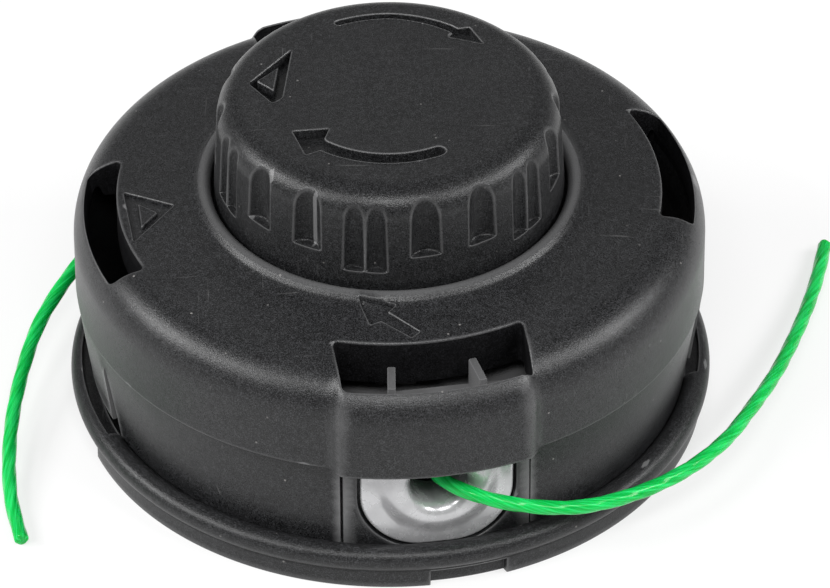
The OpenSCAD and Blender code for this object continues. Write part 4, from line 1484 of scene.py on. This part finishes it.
# ---------------------------------------------------------------- eyelets
def build_eyelet():
    """The pressed eyelet, drawn facing +X: curved plate, rolled lip and neck."""
    ro = rr_radius(ALPHA, 12.3, 12.6, 9.5)
    ca, sa = np.cos(ALPHA), np.sin(ALPHA)
    rows = []          # (rho array, x array)

    def cyl(rho):
        return np.sqrt(BLOCK_R ** 2 - (rho * ca) ** 2)

    def front(rho):
        # the plate rises in one smooth sweep into the lip round the opening
        u = np.clip((10.6 - rho) / (10.6 - 6.65), 0, 1)
        return cyl(rho) + (49.45 - cyl(rho)) * (0.5 - 0.5 * np.cos(np.pi * u))

    e = 0.5
    rows.append((ro, cyl(ro) - 1.4))
    rows.append((ro, cyl(ro) - 0.9))
    for a in (0, 18, 36, 54, 72, 90):
        rho = ro - e * (1 - math.cos(rad(a)))
        rows.append((rho, cyl(rho) - e * (1 - math.sin(rad(a)))))
    for u in (0.12, 0.3, 0.5, 0.75, 1.0):
        rho = (ro - e) * (1 - u) + 10.6 * u
        rows.append((rho, cyl(rho)))
    for r in (10.35, 10.1, 9.8, 9.5, 9.2, 8.9, 8.6, 8.35, 8.1, 7.85, 7.6, 7.4, 7.2, 7.05, 6.92, 6.8, 6.72):
        rho = np.full(NA, r)
        rows.append((rho, front(rho)))
    base = 0.0
    for i, phi in enumerate(np.arange(95, 181, 7.0)):
        rho = np.full(NA, 6.65 + 2.05 * math.cos(rad(phi)))
        rows.append((rho, np.full(NA, 47.4 + 2.05 * math.sin(rad(phi))) + base * max(0.0, 1 - i / 5)))
    rows.append((np.full(NA, 4.6), np.full(NA, 45.0)))
    rows.append((np.full(NA, 4.6), np.full(NA, 42.3)))
    rows.append((np.full(NA, 4.8), np.full(NA, 42.0)))
    rows.append((np.full(NA, 5.6), np.full(NA, 42.0)))
    rows.append((np.full(NA, 5.8), np.full(NA, 42.2)))
    rows.append((np.full(NA, 5.8), np.full(NA, 44.9)))
    rows.append((np.full(NA, 6.2), np.full(NA, 45.35)))
    rows.append((np.full(NA, 7.6), np.full(NA, 45.6)))
    for u in (0.15, 0.4, 0.7, 0.95):
        rho = 7.6 * (1 - u) + ro * u
        rows.append((rho, cyl(rho) - 1.4))
    V = []
    for rho, x in rows:
        V += [(x[j], -rho[j] * ca[j], EYE_Z + rho[j] * sa[j]) for j in range(NA)]
    return np.array(V), grid_faces(len(rows), NA, close_r=True)


ev, ef = build_eyelet()
for name, s in (("front", 0), ("rear", 180)):
    new_object("eyelet_" + name + "_pressed", rot_z(ev, EYE + s), ef, M_EYE, "root", replaces=("eyelet_" + name,), flat=50)


# ---------------------------------------------------------------- the line on the spool
def build_wound():
    """Two packs of turns and the stretch that joins them through the spool's divider."""
    parts = []
    for z0, hand in ((12.0, 1), (23.4, -1)):
        path = []
        # five layers, each two turns high, wound outwards
        for layer in range(5):
            r = 17.5 + layer * 2.4
            for turn in range(2):
                z = z0 + (turn if layer % 2 == 0 else 1 - turn) * 2.4
                for k in range(56):
                    a = 360.0 * k / 56
                    nz = z0 + ((turn + 1) if layer % 2 == 0 else -turn) * 2.4
                    zz, rr_ = z, r
                    if k > 50 and turn == 0:
                        u = float(smooth(50, 56, k))
                        zz = z + (2.4 if layer % 2 == 0 else -2.4) * u
                    if k > 50 and turn == 1 and layer < 4:
                        rr_ = r + 2.4 * float(smooth(50, 56, k))
                    path.append((rr_ * math.cos(rad(a) * hand + rad(EYE)), rr_ * math.sin(rad(a) * hand + rad(EYE)), zz))
        path = np.array(path)
        V, F, _ = swept(path, lambda a: 1.17, 10, 0.0)
        parts.append((V, F))
    ax = np.array((math.cos(rad(EYE)), math.sin(rad(EYE)), 0.0))
    pts = [ax * 28.2 + (0, 0, 12.0), ax * 28.4 + (0, 0, 15.5), ax * 27.6 + (0, 0, 18.2), ax * 24.0 + (0, 0, 18.9), ax * 8 + (0, 0, 18.9),
           ax * -8 + (0, 0, 18.9), ax * -24.0 + (0, 0, 18.9), ax * -27.6 + (0, 0, 19.6), ax * -28.4 + (0, 0, 22.3), ax * -28.2 + (0, 0, 25.8)]
    V, F, _ = swept(catmull(pts, 8), lambda a: 1.17, 12, 0.0)
    parts.append((V, F))
    return join_parts(parts)


wv, wf = build_wound()
new_object("line_on_spool", wv, wf, M_LINE, "reel", replaces=("wound_line",), flat=0)

# ---------------------------------------------------------------- the bump spring, a steel coil; on the real reel it closes up as the knob is pressed
SPRING_LO, SPRING_HI, SPRING_R, SPRING_WIRE, SPRING_TURNS = 4.2, 15.35, 12.4, 0.75, 4.0
sp = []
for k in range(361):
    u = k / 360
    e = float(smooth(0.125, 0.875, u))
    a = rad(360.0 * SPRING_TURNS * u)
    z = SPRING_LO + 0.76 + (SPRING_HI - SPRING_LO - 1.52) * (0.35 * e + 0.65 * u)
    sp.append((SPRING_R * math.cos(a), SPRING_R * math.sin(a), z))
sv, sf, _ = swept(np.array(sp), lambda a: SPRING_WIRE, 14, 0.0)
coil = new_object("spring_coil", sv, sf, M_STEEL, "root", replaces=("spring",), flat=50)
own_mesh(coil)

# ---------------------------------------------------------------- the CAD pieces that stay
for node, mat in (("arbor_insert", M_STEEL), ("spring_seat", M_STEEL), ("spring_washer", M_STEEL), ("spool", M_SPOOL)):
    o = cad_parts[node]
    me = o.data
    if len(me.materials):
        for i in range(len(me.materials)):
            me.materials[i] = mat
    else:
        me.materials.append(mat)

# ---------------------------------------------------------------- stage and light
def stage():
    sc = bpy.context.scene
    sc.view_settings.view_transform = "Standard"
    me = bpy.data.meshes.new("floor")
    s = 4.0
    me.from_pydata([(-s, -s, 0), (s, -s, 0), (s, s, 0), (-s, s, 0)], [], [(0, 1, 2, 3)])
    o = bpy.data.objects.new("floor", me)
    bpy.context.scene.collection.objects.link(o)
    m = bpy.data.materials.new("floor_white")
    m.use_nodes = True
    b = m.node_tree.nodes["Principled BSDF"]
    b.inputs["Base Color"].default_value = (0.28, 0.28, 0.28, 1)
    b.inputs["Emission Color"].default_value = (1.0, 1.0, 1.0, 1)
    b.inputs["Emission Strength"].default_value = 0.66
    b.inputs["Roughness"].default_value = 0.9
    b.inputs["Specular IOR Level"].default_value = 0.1
    me.materials.append(m)
    w = bpy.data.worlds.new("studio")
    bpy.context.scene.world = w
    w.use_nodes = True
    bg = w.node_tree.nodes["Background"]
    bg.inputs["Color"].default_value = (1, 1, 1, 1)
    bg.inputs["Strength"].default_value = 0.24

    def area(name, direction, dist, size, radiance, size_y=None):
        """A soft box in a direction from the object, with the radiance that its face shows."""
        d = bpy.data.lights.new(name, "AREA")
        d.shape = "RECTANGLE"
        d.size = size
        d.size_y = size_y or size
        d.energy = radiance * math.pi * d.size * d.size_y
        lo = bpy.data.objects.new(name, d)
        bpy.context.scene.collection.objects.link(lo)
        v = Vector(direction).normalized()
        lo.location = v * dist
        lo.rotation_mode = "QUATERNION"
        lo.rotation_quaternion = (-v).to_track_quat("-Z", "Y")
        return lo

    # an arc of soft boxes, so that the shoulders carry one even highlight
    area("left_box", (-0.84, 0.0, 0.52), 1.0, 0.36, 19.0, 0.26)
    area("right_box", (0.84, -0.02, 0.52), 1.0, 0.36, 15.5, 0.26)
    area("front_left_box", (-0.60, -0.42, 0.66), 1.0, 0.30, 18.0, 0.22)
    area("front_right_box", (0.60, -0.42, 0.66), 1.0, 0.30, 15.0, 0.22)
    area("front_box", (0.0, -0.62, 0.78), 1.0, 0.42, 17.0, 0.20)
    area("back_box", (-0.1, 0.85, 0.75), 1.3, 0.8, 0.35, 0.5)


stage()
